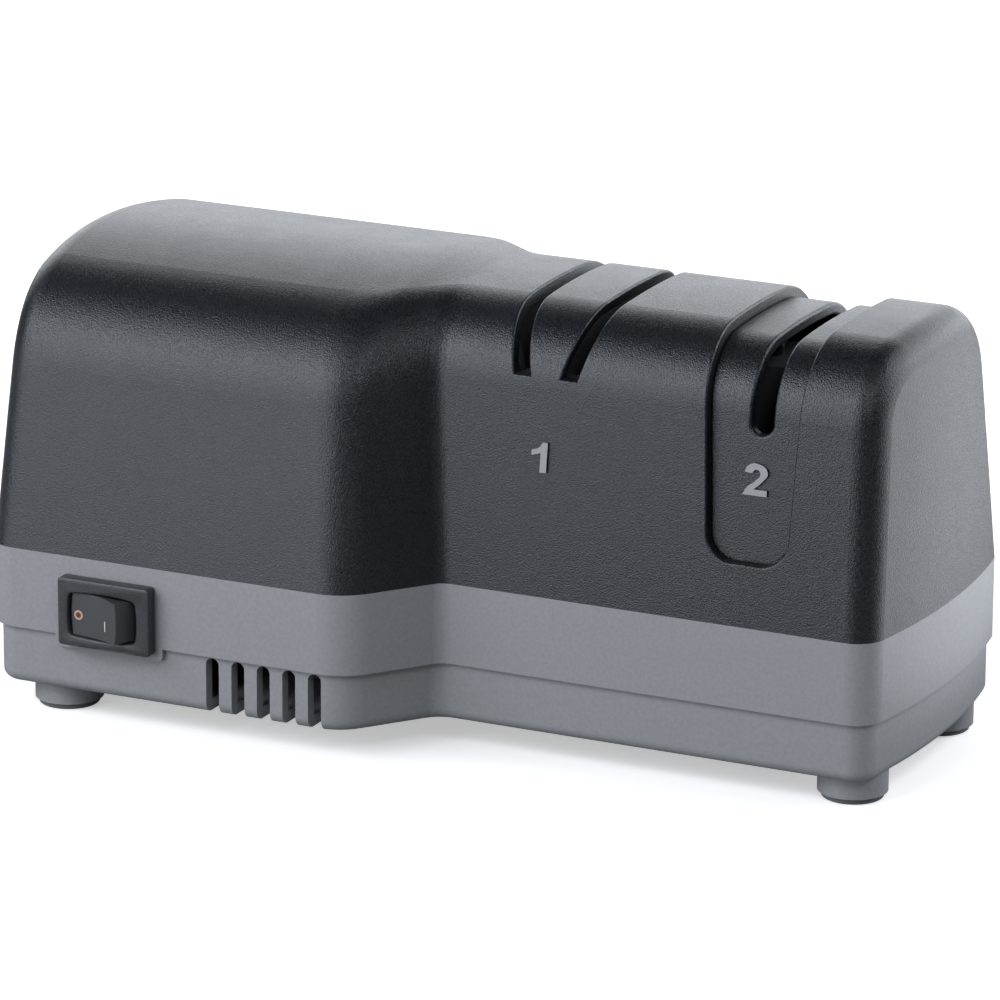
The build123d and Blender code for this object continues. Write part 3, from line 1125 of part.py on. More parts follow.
core_arch = stage_arch(insert_left, INSERT_INSET + INSERT_WALL / 2, SPLIT_Z)
insert_core = extrude(core_arch, amount=TALL / 2)
with BuildPart() as insert_ears:
    with Locations(*[(x, y, SPLIT_Z) for x, y in STAKES]):
        Box(EAR_LENGTH, EAR_WIDTH, TALL, align=UP)
    extrude(stage_arch(insert_left, flange_inset, SPLIT_Z), amount=TALL / 2, mode=Mode.INTERSECT)
with BuildPart() as insert_tongue:
    extrude(stage_arch(insert_left, INSERT_INSET, SPLIT_Z), amount=TALL / 2)
    extrude(window_outline(-INSERT_GAP, TALL / 2), amount=TALL, mode=Mode.INTERSECT)
with BuildPart() as stage_2_insert:
    extrude(stage_arch(insert_left, flange_inset, SPLIT_Z), amount=TALL / 2)
    extrude(window_outline(INSERT_FLANGE, TALL / 2), amount=TALL, mode=Mode.INTERSECT)
    add(insert_ears.part)
    add(insert_tongue.part)
    extrude(
        stage_arch(insert_left, flange_inset + INSERT_WALL, TUB_Z), amount=TALL / 2,
        mode=Mode.SUBTRACT,
    )
    with Locations(*[(x, y, SPLIT_Z) for x, y in STAKES]):
        Cylinder(STAKE_RADIUS + FIT, TALL, align=UP, mode=Mode.SUBTRACT)
    # bosses for the wheel carrier
    boss_top = STAGE_TOP - flange_inset - INSERT_WALL / 2
    with Locations(*[(STAGE2_X + side * CARRIER_SCREW_X, 0, carrier_top_z) for side in (-1, 1)]):
        Cylinder(CARRIER_BOSS, boss_top - carrier_top_z, align=UP)
        Cylinder(
            SMALL_SCREW + FIT, SMALL_SCREW_LENGTH - CARRIER_BRIDGE, align=UP, mode=Mode.SUBTRACT
        )
    extrude(slot_2(SLOT2_WIDTH, SLOT2_BOTTOM), amount=TALL, mode=Mode.SUBTRACT)
    fillet(outer_edges(stage_2_insert.edges(Select.NEW), insert_core), radius=SLOT2_LIP)
finish(stage_2_insert, "stage_2_insert")

with BuildPart() as wheel_carrier:
    for way in (-1, 1):
        with Locations((STAGE2_X, way * CARRIER_Y, carrier_top_z)):
            Box(2 * CARRIER_HALF, CARRIER_WALL, CARRIER_HEIGHT + CARRIER_BRIDGE, align=DOWN)
    with Locations((STAGE2_X, 0, CARRIER_TOP)):
        Box(2 * CARRIER_HALF, 2 * CARRIER_Y, CARRIER_BRIDGE, align=UP)
    with Locations(*[(STAGE2_X + side * CARRIER_SCREW_X, 0, CARRIER_TOP) for side in (-1, 1)]):
        Cylinder(SMALL_SCREW + CLEAR, CARRIER_BRIDGE, align=UP, mode=Mode.SUBTRACT)
    with Locations(*[(STAGE2_X + side * AXLE_X, 0, AXLE_Z) for side in (-1, 1)]):
        Cylinder(AXLE_RADIUS + FIT, TALL / 2, rotation=(90, 0, 0), mode=Mode.SUBTRACT)
    extrude(slot_2(SLOT2_WIDTH + 2 * SLIDE, SLOT2_BOTTOM - SLIDE), amount=TALL, mode=Mode.SUBTRACT)
finish(wheel_carrier, "wheel_carrier")

carrier_screws = screws(
    [(STAGE2_X + side * CARRIER_SCREW_X, 0) for side in (-1, 1)], CARRIER_TOP, SMALL_SCREW,
    SMALL_SCREW_LENGTH, SMALL_SCREW_HEAD, SMALL_SCREW_HEIGHT,
)
finish(carrier_screws, "carrier_screws")

axle_half = CARRIER_Y + CARRIER_WALL / 2 + AXLE_END
with BuildPart() as wheel_axles:
    with Locations(*[(STAGE2_X + side * AXLE_X, 0, AXLE_Z) for side in (-1, 1)]):
        Cylinder(AXLE_RADIUS, 2 * axle_half, rotation=(90, 0, 0))
finish(wheel_axles, "wheel_axles")

spacer_end = CARRIER_Y - CARRIER_WALL / 2 - CLEAR / 2
for side, node in ((-1, "wheel_left"), (1, "wheel_right")):
    with BuildPart() as wheel:
        with Locations((STAGE2_X + side * AXLE_X, side * WHEEL_Y, AXLE_Z)):
            Cylinder(WHEEL_RADIUS, WHEEL_WIDTH, rotation=(90, 0, 0))
            Cylinder(AXLE_RADIUS + RUNNING, WHEEL_WIDTH, rotation=(90, 0, 0), mode=Mode.SUBTRACT)
        rims = wheel.edges().filter_by(GeomType.CIRCLE).group_by(SortBy.RADIUS)[-1]
        chamfer(rims, length=RIM_EDGE)
    finish(wheel, node)

with BuildPart() as wheel_spacers:
    for side in (-1, 1):
        near = side * (WHEEL_Y + WHEEL_WIDTH / 2 + CLEAR / 2)
        far = side * (WHEEL_Y - WHEEL_WIDTH / 2 - CLEAR / 2)
        for start, end in ((near, side * spacer_end), (far, -side * spacer_end)):
            with Locations((STAGE2_X + side * AXLE_X, (start + end) / 2, AXLE_Z)):
                Cylinder(SPACER_RADIUS, abs(end - start), rotation=(90, 0, 0))
                Cylinder(
                    AXLE_RADIUS + RUNNING, abs(end - start), rotation=(90, 0, 0),
                    mode=Mode.SUBTRACT,
                )
finish(wheel_spacers, "wheel_spacers")
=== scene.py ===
import json
from math import cos, pi, radians, sin, tan

import bmesh
import bpy
from mathutils import Matrix, Vector


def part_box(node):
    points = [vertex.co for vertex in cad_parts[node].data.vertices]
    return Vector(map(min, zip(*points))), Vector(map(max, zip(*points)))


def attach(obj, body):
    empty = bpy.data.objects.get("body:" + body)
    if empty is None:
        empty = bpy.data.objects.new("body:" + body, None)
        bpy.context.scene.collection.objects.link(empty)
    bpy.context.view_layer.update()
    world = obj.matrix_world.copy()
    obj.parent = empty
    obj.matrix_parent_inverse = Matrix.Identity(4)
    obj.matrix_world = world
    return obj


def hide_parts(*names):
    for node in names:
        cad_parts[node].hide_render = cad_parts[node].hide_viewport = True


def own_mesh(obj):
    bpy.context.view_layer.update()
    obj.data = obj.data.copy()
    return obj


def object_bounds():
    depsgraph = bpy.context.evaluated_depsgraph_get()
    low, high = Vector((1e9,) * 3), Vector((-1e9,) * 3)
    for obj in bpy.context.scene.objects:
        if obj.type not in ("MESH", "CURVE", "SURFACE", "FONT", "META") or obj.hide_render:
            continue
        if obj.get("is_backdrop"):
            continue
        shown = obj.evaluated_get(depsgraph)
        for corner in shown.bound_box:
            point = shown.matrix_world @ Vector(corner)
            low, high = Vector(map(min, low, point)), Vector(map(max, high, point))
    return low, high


# Two-stage electric knife sharpener. Everything is in metres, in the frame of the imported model,
# but outlines are written in millimetres and turned into metres as they are used.

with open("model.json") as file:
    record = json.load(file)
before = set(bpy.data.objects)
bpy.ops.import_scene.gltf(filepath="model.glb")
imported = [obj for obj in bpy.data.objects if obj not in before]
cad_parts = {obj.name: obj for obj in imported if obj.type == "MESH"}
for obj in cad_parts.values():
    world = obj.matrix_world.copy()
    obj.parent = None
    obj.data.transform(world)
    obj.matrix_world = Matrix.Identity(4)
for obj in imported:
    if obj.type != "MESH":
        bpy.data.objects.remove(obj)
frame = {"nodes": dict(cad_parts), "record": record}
cad_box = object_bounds()
nodes = frame["nodes"]

MM = 0.001


# ---------------------------------------------------------------- shader arithmetic
class Value:
    """A shader socket that takes part in Python arithmetic through Math nodes."""

    def __init__(self, finish, socket):
        self.finish = finish
        self.socket = socket

    def math(self, operation, *values):
        return self.finish.add("ShaderNodeMath", {"operation": operation}, values, first=self)

    def __add__(self, other):
        return self.math("ADD", other)

    def __sub__(self, other):
        return self.math("SUBTRACT", other)

    def __mul__(self, other):
        return self.math("MULTIPLY", other)

    def __rsub__(self, other):
        return (self * -1) + other

    __radd__ = __add__
    __rmul__ = __mul__


class Finish:
    """A node material in the making. Every node comes from add()."""

    def __init__(self, name, color, roughness, metallic=0.0, **constants):
        self.material = bpy.data.materials.new(name)
        self.material.use_nodes = True
        self.tree = self.material.node_tree
        self.shader = self.tree.nodes["Principled BSDF"]
        self.color = color
        self.set("Base Color", (*color, 1.0))
        self.set("Roughness", roughness)
        self.set("Metallic", metallic)
        for socket, value in constants.items():
            self.set(socket.replace("_", " "), value)
        self.place = self.add("ShaderNodeTexCoord", out="Object")

    def add(self, kind, settings=None, values=(), first=None, out=0, **named):
        """Makes a node: its settings first, then values or links for its sockets."""
        node = self.tree.nodes.new(kind)
        for name, value in (settings or {}).items():
            setattr(node, name, value)
        placed = ([first] if first is not None else []) + list(values)
        for index, value in enumerate(placed):
            self.feed(node.inputs[index], value)
        for name, value in named.items():
            self.feed(node.inputs[name.replace("_", " ")], value)
        return Value(self, node.outputs[out])

    def feed(self, socket, value):
        """Links a socket to a value, or sets it to a number or a colour."""
        if isinstance(value, Value):
            self.tree.links.new(value.socket, socket)
        else:
            socket.default_value = value

    def set(self, socket, value):
        """Feeds a socket of the material's own shader."""
        self.feed(self.shader.inputs[socket], value)

    def noise(self, size, detail=2.0, stretch=(1, 1, 1)):
        """Noise from 0 to 1 with features of about size metres."""
        place = self.add("ShaderNodeMapping", Vector=self.place, Scale=stretch)
        return self.add("ShaderNodeTexNoise", Vector=place, Scale=1 / size, Detail=detail)

    def cells(self, size):
        """Rounded cells of about size metres, 0 at their middles."""
        return self.add(
            "ShaderNodeTexVoronoi", {"feature": "SMOOTH_F1"}, Vector=self.place, Scale=1 / size
        )

    def tint(self, amount, level):
        """Base colour that is darkened by amount at level 0 and lightened by it at level 1."""
        mixed = self.add("ShaderNodeMix", {"data_type": "RGBA"}, out=2, Factor=level)
        dark, light = mixed.socket.node.inputs[6:8]
        dark.default_value = (*(c * (1 - amount) for c in self.color), 1.0)
        light.default_value = (*(c * (1 + amount) for c in self.color), 1.0)
        self.set("Base Color", mixed)

    def vary_roughness(self, roughness, *parts):
        """Roughness about its mean, made of parts: a level from 0 to 1, and how far it swings."""
        mean = roughness - sum(swing for level, swing in parts) / 2
        self.set("Roughness", sum((level * swing for level, swing in parts), mean))

    def bump(self, height, distance):
        """Raises the surface by up to a distance where the height is 1."""
        self.set("Normal", self.add("ShaderNodeBump", Height=height, Distance=distance))


COOL_GLOSS = (0.93, 0.97, 1.0, 1.0)
SPECKLE_CONTRAST = 2.5


def moulded(name, color, roughness, grain, relief, tint):
    """Injection-moulded plastic with an eroded grain."""
    finish = Finish(name, color, roughness, Specular_Tint=COOL_GLOSS)
    speckle = (finish.noise(grain, 0.0) - 0.5) * SPECKLE_CONTRAST + 0.5
    finish.bump(finish.noise(grain, 0.5) + finish.noise(grain * 3, 0.0) * 0.1, relief)
    finish.tint(tint, speckle)
    clouds, patches = finish.noise(grain * 30, 2.0), finish.noise(grain * 1.3, 0.0)
    finish.vary_roughness(roughness, (clouds, 0.08), (patches, 0.16))
    return finish.material


def smooth_plastic(name, color, roughness):
    """Polished moulded plastic with faint flow marks."""
    finish = Finish(name, color, roughness)
    finish.vary_roughness(roughness, (finish.noise(6 * MM, 3.0), 0.1))
    finish.bump(finish.noise(0.25 * MM, 2.0), 0.008 * MM)
    finish.tint(0.05, finish.noise(9 * MM, 2.0))
    return finish.material


def rubber(name, color):
    """Dull rubber with an uneven skin."""
    finish = Finish(name, color, 0.75)
    finish.bump(finish.noise(0.4 * MM, 3.0), 0.03 * MM)
    finish.tint(0.15, finish.noise(3 * MM, 3.0))
    return finish.material


def metal(name, color, roughness, size=0.15 * MM, stretch=(1, 1, 1), relief=0.006 * MM):
    """Metal with fine marks that run along the axis with the smallest stretch."""
    finish = Finish(name, color, roughness, 1.0)
    marks = finish.noise(size, 3.0, stretch)
    finish.bump(marks, relief)
    finish.vary_roughness(roughness, (marks, 0.16))
    finish.tint(0.12, finish.noise(4 * MM, 3.0))
    return finish.material


def laminated(name, color):
    """Stacked sheet steel: thin lines across the stack, which runs along X."""
    finish = Finish(name, color, 0.45, 1.0)
    lines = finish.add(
        "ShaderNodeTexWave", {"bands_direction": "X"}, Vector=finish.place, Scale=1 / (3.2 * MM),
        Distortion=0.4, Detail=1.0,
    )
    finish.bump(lines, 0.08 * MM)
    finish.tint(0.3, lines * 0.5 + finish.noise(2 * MM, 3.0) * 0.5)
    return finish.material


def grit(name, color):
    """Steel face coated with fine diamond grit."""
    finish = Finish(name, color, 0.5, 1.0)
    grains = finish.cells(0.22 * MM)
    finish.bump(grains, 0.05 * MM)
    finish.set("Roughness", grains * 0.5 + 0.3)
    finish.tint(0.25, finish.noise(0.5 * MM, 2.0))
    return finish.material


def enamelled_wire(name, color):
    """Enamelled copper wire, wound in turns side by side along Y."""
    finish = Finish(name, color, 0.3, 0.85)
    finish.vary_roughness(0.3, (finish.noise(1.2 * MM, 2.0), 0.2))
    finish.bump(finish.noise(0.5 * MM, 2.0), 0.01 * MM)
    finish.tint(0.35, finish.noise(0.7 * MM, 1.0, (0.1, 1, 0.1)))
    return finish.material


def look(make, color, **numbers):
    """How a finish is made: its kind, its colour and what else its kind asks for."""
    return make, color, numbers


HOUSING_LOOK = look(
    moulded, (0.0085, 0.0100, 0.0130), roughness=0.33, grain=0.27 * MM, relief=0.10 * MM, tint=0.9
)
LOOKS = {
    "housing_black": HOUSING_LOOK,
    "insert_black": HOUSING_LOOK,
    "base_grey": look(
        moulded, (0.250, 0.257, 0.268), roughness=0.5, grain=0.8 * MM, relief=0.02 * MM, tint=0.04
    ),
    "foot_rubber": look(rubber, (0.12, 0.125, 0.135)),
    "screw_steel": look(metal, (0.55, 0.55, 0.57), roughness=0.35),
    "switch_black": look(
        moulded, (0.036, 0.038, 0.041), roughness=0.38, grain=0.3 * MM, relief=0.03 * MM, tint=0.2
    ),
    "rocker_black": look(smooth_plastic, (0.050, 0.053, 0.058), roughness=0.42),
    "terminal_brass": look(metal, (0.78, 0.62, 0.34), roughness=0.3),
    "gland_rubber": look(rubber, (0.03, 0.03, 0.032)),
    "clamp_plastic": look(smooth_plastic, (0.04, 0.04, 0.042), roughness=0.5),
    "lamination_steel": look(laminated, (0.33, 0.33, 0.35)),
    "copper": look(metal, (0.85, 0.45, 0.27), roughness=0.35),
    "winding_copper": look(enamelled_wire, (0.62, 0.22, 0.08)),
    "bobbin_plastic": look(smooth_plastic, (0.72, 0.70, 0.63), roughness=0.5),
    "cast_aluminium": look(
        metal, (0.62, 0.62, 0.63), roughness=0.5, size=0.5 * MM, relief=0.03 * MM
    ),
    "bronze": look(metal, (0.5, 0.34, 0.16), roughness=0.45, size=0.3 * MM, relief=0.02 * MM),
    "shaft_steel": look(
        metal, (0.62, 0.62, 0.64), roughness=0.25, size=0.2 * MM, stretch=(6, 1, 1)
    ),
    "rotor_steel": look(laminated, (0.42, 0.42, 0.44)),
    "fan_plastic": look(smooth_plastic, (0.06, 0.06, 0.062), roughness=0.5),
    "abrasive_steel": look(grit, (0.40, 0.39, 0.36)),
    "spring_steel": look(metal, (0.5, 0.5, 0.52), roughness=0.3),
    "inner_plastic": look(smooth_plastic, (0.05, 0.05, 0.054), roughness=0.5),
    "magnet_nickel": look(metal, (0.7, 0.69, 0.66), roughness=0.15),
    "ceramic": look(
        moulded, (0.80, 0.78, 0.71), roughness=0.4, grain=0.2 * MM, relief=0.01 * MM, tint=0.03
    ),
    "numeral_silver": look(smooth_plastic, (0.245, 0.252, 0.265), roughness=0.4),
    "mark_orange": look(smooth_plastic, (0.58, 0.30, 0.19), roughness=0.5),
    "mark_pale": look(smooth_plastic, (0.56, 0.47, 0.42), roughness=0.5),
}
finishes = {
    name: make(name, color, **numbers) for name, (make, color, numbers) in LOOKS.items()
}

for part in frame["record"]["subparts"]:
    node = nodes[part["node"]]
    node.data.materials.clear()
    node.data.materials.append(finishes[part["material_slot"]])


# ---------------------------------------------------------------- meshes and outlines
MERGE = 0.001 * MM               # vertices closer than this are one
CURVE_STEPS = 6                  # straight pieces between two smooth points of an outline
CORNER_STEPS = 3                 # straight pieces of a rounded corner
SIDE_STEPS = 6                   # straight pieces of a side that may swell
CORNER, SMOOTH = True, False     # kinds of points of an outline


def linked(name, data):
    """A new object with its data, linked to the scene."""
    made = bpy.data.objects.new(name, data)
    bpy.context.scene.collection.objects.link(made)
    return made


def mesh_data(name, mesh):
    """Mesh data made from a bmesh, which is freed."""
    data = bpy.data.meshes.new(name)
    mesh.to_mesh(data)
    mesh.free()
    return data


def merged(data):
    """A bmesh of mesh data, with its doubles merged."""
    mesh = bmesh.new()
    mesh.from_mesh(data)
    bmesh.ops.remove_doubles(mesh, verts=mesh.verts, dist=MERGE)
    return mesh


def new_piece(name, mesh, finish, body, slot):
    """Links a bmesh as a finished piece that rides on a body."""
    bmesh.ops.recalc_face_normals(mesh, faces=mesh.faces)
    piece = linked(name, mesh_data(name, mesh))
    piece.data.materials.append(finishes[finish])
    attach(piece, body)
    return piece


def soften(piece, angle=35):
    """Smooth shading that keeps edges sharper than the angle."""
    for polygon in piece.data.polygons:
        polygon.use_smooth = True
    piece.data.set_sharp_from_angle(angle=radians(angle))


def box_of(node):
    """Lowest and highest corners of a node, and its middle."""
    low, high = (Vector(corner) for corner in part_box(node))
    return low, high, (low + high) / 2


def cut_across(mesh, spot, across, **options):
    """Cuts a whole bmesh along the plane through a spot, and gives what lies in the cut."""
    everything = mesh.verts[:] + mesh.edges[:] + mesh.faces[:]
    return bmesh.ops.bisect_plane(
        mesh, geom=everything, plane_co=spot, plane_no=across, **options
    )["geom_cut"]


def edges_in(parts):
    """The edges among the parts that an operator gives back."""
    return [part for part in parts if isinstance(part, bmesh.types.BMEdge)]


def block(mesh, size):
    """Adds a block about the origin to a bmesh, and gives its vertices."""
    verts = bmesh.ops.create_cube(mesh, size=1.0)["verts"]
    bmesh.ops.scale(mesh, vec=size, verts=verts)
    return verts


def plate(outline, thickness, hole=None, edge=0.0):
    """Flat plate from outlines of (x, z, kind of point), with its edge rounded."""
    curve = bpy.data.curves.new("plate_outline", "CURVE")
    curve.dimensions = "2D"
    curve.fill_mode = "BOTH"
    curve.extrude = thickness / 2 - edge
    curve.bevel_depth = edge
    curve.bevel_resolution = 1
    curve.offset = -edge
    curve.resolution_u = CURVE_STEPS
    for line in (outline, hole) if hole else (outline,):
        spline = curve.splines.new("BEZIER")
        spline.bezier_points.add(len(line) - 1)
        for point, (x, z, kind) in zip(spline.bezier_points, line):
            point.co = (x * MM, z * MM, 0)
            handles = "VECTOR" if kind == CORNER else "AUTO"
            point.handle_left_type = point.handle_right_type = handles
        spline.use_cyclic_u = True
    holder = linked("plate_outline", curve)
    bpy.context.view_layer.update()
    data = bpy.data.meshes.new_from_object(holder)
    mesh = merged(data)
    bpy.data.objects.remove(holder)
    bpy.data.curves.remove(curve)
    bpy.data.meshes.remove(data)
    return mesh


def swollen(x, z, half, swell, middle=(0, 0)):
    """A point moved outwards, most at the middle of each side."""
    wide = 1 + swell[0] / half[0] * (1 - (z / half[1]) ** 2)
    high = 1 + swell[1] / half[1] * (1 - (x / half[0]) ** 2)
    return middle[0] + x * wide, middle[1] + z * high


def rounded(left, right, foot, top, radius, swell=(0, 0)):
    """Outline of a rectangle with rounded corners, whose sides may swell outwards."""
    line = []
    for turn, (x, z) in enumerate(((right, top), (left, top), (left, foot), (right, foot))):
        start = turn * pi / 2
        inward = Vector((cos(start + 5 * pi / 4), sin(start + 5 * pi / 4))) * radius * 2 ** 0.5
        for step in range(CORNER_STEPS + 1):
            angle = start + step * pi / (2 * CORNER_STEPS)
            line.append((x + inward.x + radius * cos(angle), z + inward.y + radius * sin(angle)))
    full = []
    for (x, z), (next_x, next_z) in zip(line, line[1:] + line[:1]):
        is_side = abs(next_x - x) + abs(next_z - z) > 2 * radius
        pieces = SIDE_STEPS if is_side else 1
        full += [
            (x + (next_x - x) * i / pieces, z + (next_z - z) * i / pieces) for i in range(pieces)
        ]
    half = (right - left) / 2, (top - foot) / 2
    middle = (right + left) / 2, (top + foot) / 2
    return [
        (*swollen(x - middle[0], z - middle[1], half, swell, middle), CORNER) for x, z in full
    ]


# ---------------------------------------------------------------- numerals of the two stages
STAGE_HALF = 36.7 * MM           # half depth of the sharpening section at the split line
SPLIT_Z = 37.4 * MM
STAGE_DRAFT = radians(7.9)       # draft of the wall that carries the numerals
INSERT_INSET = 2.3 * MM          # the stage 2 insert lies this far inside the wall
NUMERAL_RELIEF = 0.55 * MM
FOIL = 0.06 * MM                 # thickness of a numeral's printed face
NUMERAL_1_FOOT = (24.0 * MM, 63.7 * MM)
NUMERAL_2_FOOT = (72.2 * MM, 64.4 * MM)
NUMERAL_1 = [
    (1.8, 0, CORNER), (1.8, 6.4, CORNER), (0.7, 6.4, CORNER), (-0.15, 5.25, SMOOTH),
    (-1.8, 4.6, CORNER), (-1.8, 3.45, CORNER), (0.3, 4.1, CORNER), (0.3, 0, CORNER),
]
NUMERAL_2 = [
    (2.75, 0, CORNER), (2.75, 1.3, CORNER), (-0.3, 1.3, CORNER), (1.6, 3.05, SMOOTH),
    (2.68, 5.1, SMOOTH), (0.2, 6.75, SMOOTH), (-2.0, 5.95, SMOOTH), (-2.4, 4.75, CORNER),
    (-0.85, 4.65, CORNER), (0.05, 5.45, SMOOTH), (1.05, 4.85, SMOOTH), (0, 3.1, SMOOTH),
    (-1.75, 1.65, SMOOTH), (-2.75, 0, CORNER),
]


def numeral(name, outline, foot, inset):
    """Raised numeral on the drafted front wall, or on a surface inset from it, with a foil face."""
    x, z = foot
    upright = Matrix.Rotation(pi / 2 - STAGE_DRAFT, 4, "X")
    wall_y = -STAGE_HALF + (z - SPLIT_Z) * tan(STAGE_DRAFT) + inset / cos(STAGE_DRAFT)
    place = Matrix.Translation((x, wall_y, z)) @ upright
    layers = (
        (name + "_relief", -NUMERAL_RELIEF, NUMERAL_RELIEF, "housing_black", "housing_black"),
        (name, NUMERAL_RELIEF, NUMERAL_RELIEF + FOIL, "numeral_silver", "screw_steel"),
    )
    for layer, low, high, finish, slot in layers:
        mesh = plate(outline, high - low)
        rise = Matrix.Translation((0, 0, (low + high) / 2))
        bmesh.ops.transform(mesh, matrix=place @ rise, verts=mesh.verts)
        new_piece(layer, mesh, finish, "housing", slot)


numeral("numeral_1", NUMERAL_1, NUMERAL_1_FOOT, 0)
numeral("numeral_2", NUMERAL_2, NUMERAL_2_FOOT, INSERT_INSET)


# ---------------------------------------------------------------- switch
# Sizes without MM are in millimetres, about the switch's middle: x, depth from the wall, z.
MOTOR_FRONT = -55.4 * MM         # wall that carries the switch
SWITCH_X = -67.3 * MM
SWITCH_Z = 25.5 * MM
CASE_LAP = 0.05                  # the bezel and the case overlap by this
BEZEL = (-10.7, 11.5, -7.2, 8.0)
BEZEL_THICK = 3.0
BEZEL_CORNER = 0.9
BEZEL_EDGE = 0.35
OPENING = (7.95, 4.7)            # half length and height of the rocker's opening
OPENING_CORNER = 0.8
OPENING_SWELL = (0.4, 0.5)
ROCKER_TILT = radians(15)        # either way from the middle
ROCKER_PIVOT = 2.0
ROCKER_HALF_HEIGHT = 4.4
ROCKER_SWELL = (0.45, 0.45)
RIDGE_X, RIDGE_Y = 6.2, -6.0     # ends of the rocker's face
RIDGE_ROUND = 0.3
ROCKER_PROFILE = [
    (-7.9, 0, CORNER), (-RIDGE_X, RIDGE_Y, CORNER), (0, -4.9, SMOOTH),
    (RIDGE_X, RIDGE_Y, CORNER), (7.9, 0, CORNER), (5.6, 5.6, SMOOTH), (0, 7.9, SMOOTH),
    (-5.6, 5.6, SMOOTH),
]
SWELL_START, SWELL_RUN = -2.6, 1.5   # depths over which the rocker's face starts to swell
ROCKER_LOOPS_X = (-5, -3, -1, 1, 3, 5)
ROCKER_LOOPS_Z = (-3.6, -2.4, -1.2, 0, 1.2, 2.4, 3.6)
PIN_RADIUS = 1.2
PIN_LENGTH = 1.2
PIN_OUT = 0.4                    # the pin's middle stands out of the rocker's end by this
PIN_SIDES = 24
INK = 0.08                       # thickness of a mark, which is half sunk
OFF_MARK = (-6.0, -0.2)
OFF_RADIUS, OFF_LINE = 0.85, 0.42
OFF_SIDES = 32
ON_MARK = (1.2, -1.4)
ON_SIZE = (0.34, 2.3)


def behind(node, y):
    """What a node has behind a plane across Y, closed where it is cut."""
    mesh = merged(nodes[node].data)
    cut = cut_across(mesh, (0, y, 0), (0, -1, 0), clear_outer=True)
    bmesh.ops.triangle_fill(mesh, edges=edges_in(cut), use_beauty=True)
    return mesh


def switch_case():
    """Snap-in switch: a bezel with a barrel-shaped opening, and the case behind the wall."""
    mesh = behind("switch_body", MOTOR_FRONT + CASE_LAP * MM)
    opening = rounded(
        -OPENING[0], OPENING[0], -OPENING[1], OPENING[1], OPENING_CORNER, OPENING_SWELL
    )
    bezel = plate(
        rounded(*BEZEL, BEZEL_CORNER), (BEZEL_THICK + CASE_LAP) * MM, opening, BEZEL_EDGE * MM
    )
    middle = MOTOR_FRONT + (CASE_LAP - BEZEL_THICK) / 2 * MM
    place = Matrix.Translation((SWITCH_X, middle, SWITCH_Z)) @ Matrix.Rotation(pi / 2, 4, "X")
    bmesh.ops.transform(bezel, matrix=place, verts=bezel.verts)
    data = mesh_data("bezel", bezel)
    mesh.from_mesh(data)
    bpy.data.meshes.remove(data)
    case = new_piece("switch_case", mesh, "switch_black", "housing", "switch_black")
    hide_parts("switch_body")
    soften(case)


def is_ridge(edge):
    """Whether an edge of the rocker runs along one end of its face."""
    at_end = all(
        abs(abs(vert.co.x) - RIDGE_X * MM) < 0.01 * MM and vert.co.y < (RIDGE_Y + 0.1) * MM
        for vert in edge.verts
    )
    return at_end and abs(edge.verts[0].co.z - edge.verts[1].co.z) > MM


def rocker():
    """Rocker with its left pressed in, whose face keeps the barrel shape of the opening."""
    mesh = plate(ROCKER_PROFILE, 2 * ROCKER_HALF_HEIGHT * MM)
    bmesh.ops.bevel(
        mesh, geom=[edge for edge in mesh.edges if is_ridge(edge)], offset=RIDGE_ROUND * MM,
        affect="EDGES", segments=3, profile=0.5, material=-1,
    )
    for z in ROCKER_LOOPS_Z:
        cut_across(mesh, (0, 0, z * MM), (0, 0, 1))
    for x in ROCKER_LOOPS_X:
        cut_across(mesh, (x * MM, 0, 0), (1, 0, 0))
    cut_across(mesh, (0, SWELL_START * MM, 0), (0, 1, 0))
    for vert in mesh.verts:
        share = min(max((SWELL_START * MM - vert.co.y) / (SWELL_RUN * MM), 0), 1)
        x, z = swollen(
            vert.co.x / MM, vert.co.z / MM, (OPENING[0], ROCKER_HALF_HEIGHT),
            (ROCKER_SWELL[0] * share, ROCKER_SWELL[1] * share),
        )
        vert.co.x, vert.co.z = x * MM, z * MM
    for end in (-1, 1):
        pin = bmesh.ops.create_cone(
            mesh, cap_ends=True, segments=PIN_SIDES, radius1=PIN_RADIUS * MM,
            radius2=PIN_RADIUS * MM, depth=PIN_LENGTH * MM,
        )
        out = end * (ROCKER_HALF_HEIGHT + PIN_OUT) * MM
        bmesh.ops.translate(mesh, verts=pin["verts"], vec=(0, 0, out))
    place = Matrix.Translation((SWITCH_X, MOTOR_FRONT + ROCKER_PIVOT * MM, SWITCH_Z))
    place = place @ Matrix.Rotation(-ROCKER_TILT, 4, "Z")
    bmesh.ops.transform(mesh, matrix=place, verts=mesh.verts)
    piece = new_piece("rocker_button", mesh, "rocker_black", "rocker", "rocker_black")
    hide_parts("switch_rocker")
    soften(piece)
    return piece


def ring(radius, width, thickness):
    """Flat ring about the local Z axis."""
    mesh = bmesh.new()
    corners = [
        mesh.verts.new((radius + across, 0, rise))
        for across, rise in (
            (-width / 2, -thickness / 2), (width / 2, -thickness / 2),
            (width / 2, thickness / 2), (-width / 2, thickness / 2),
        )
    ]
    edges = [mesh.edges.new((corners[i - 1], corners[i])) for i in range(4)]
    bmesh.ops.spin(
        mesh, geom=corners + edges, cent=(0, 0, 0), axis=(0, 0, 1), angle=2 * pi,
        steps=OFF_SIDES, use_merge=True,
    )
    return mesh


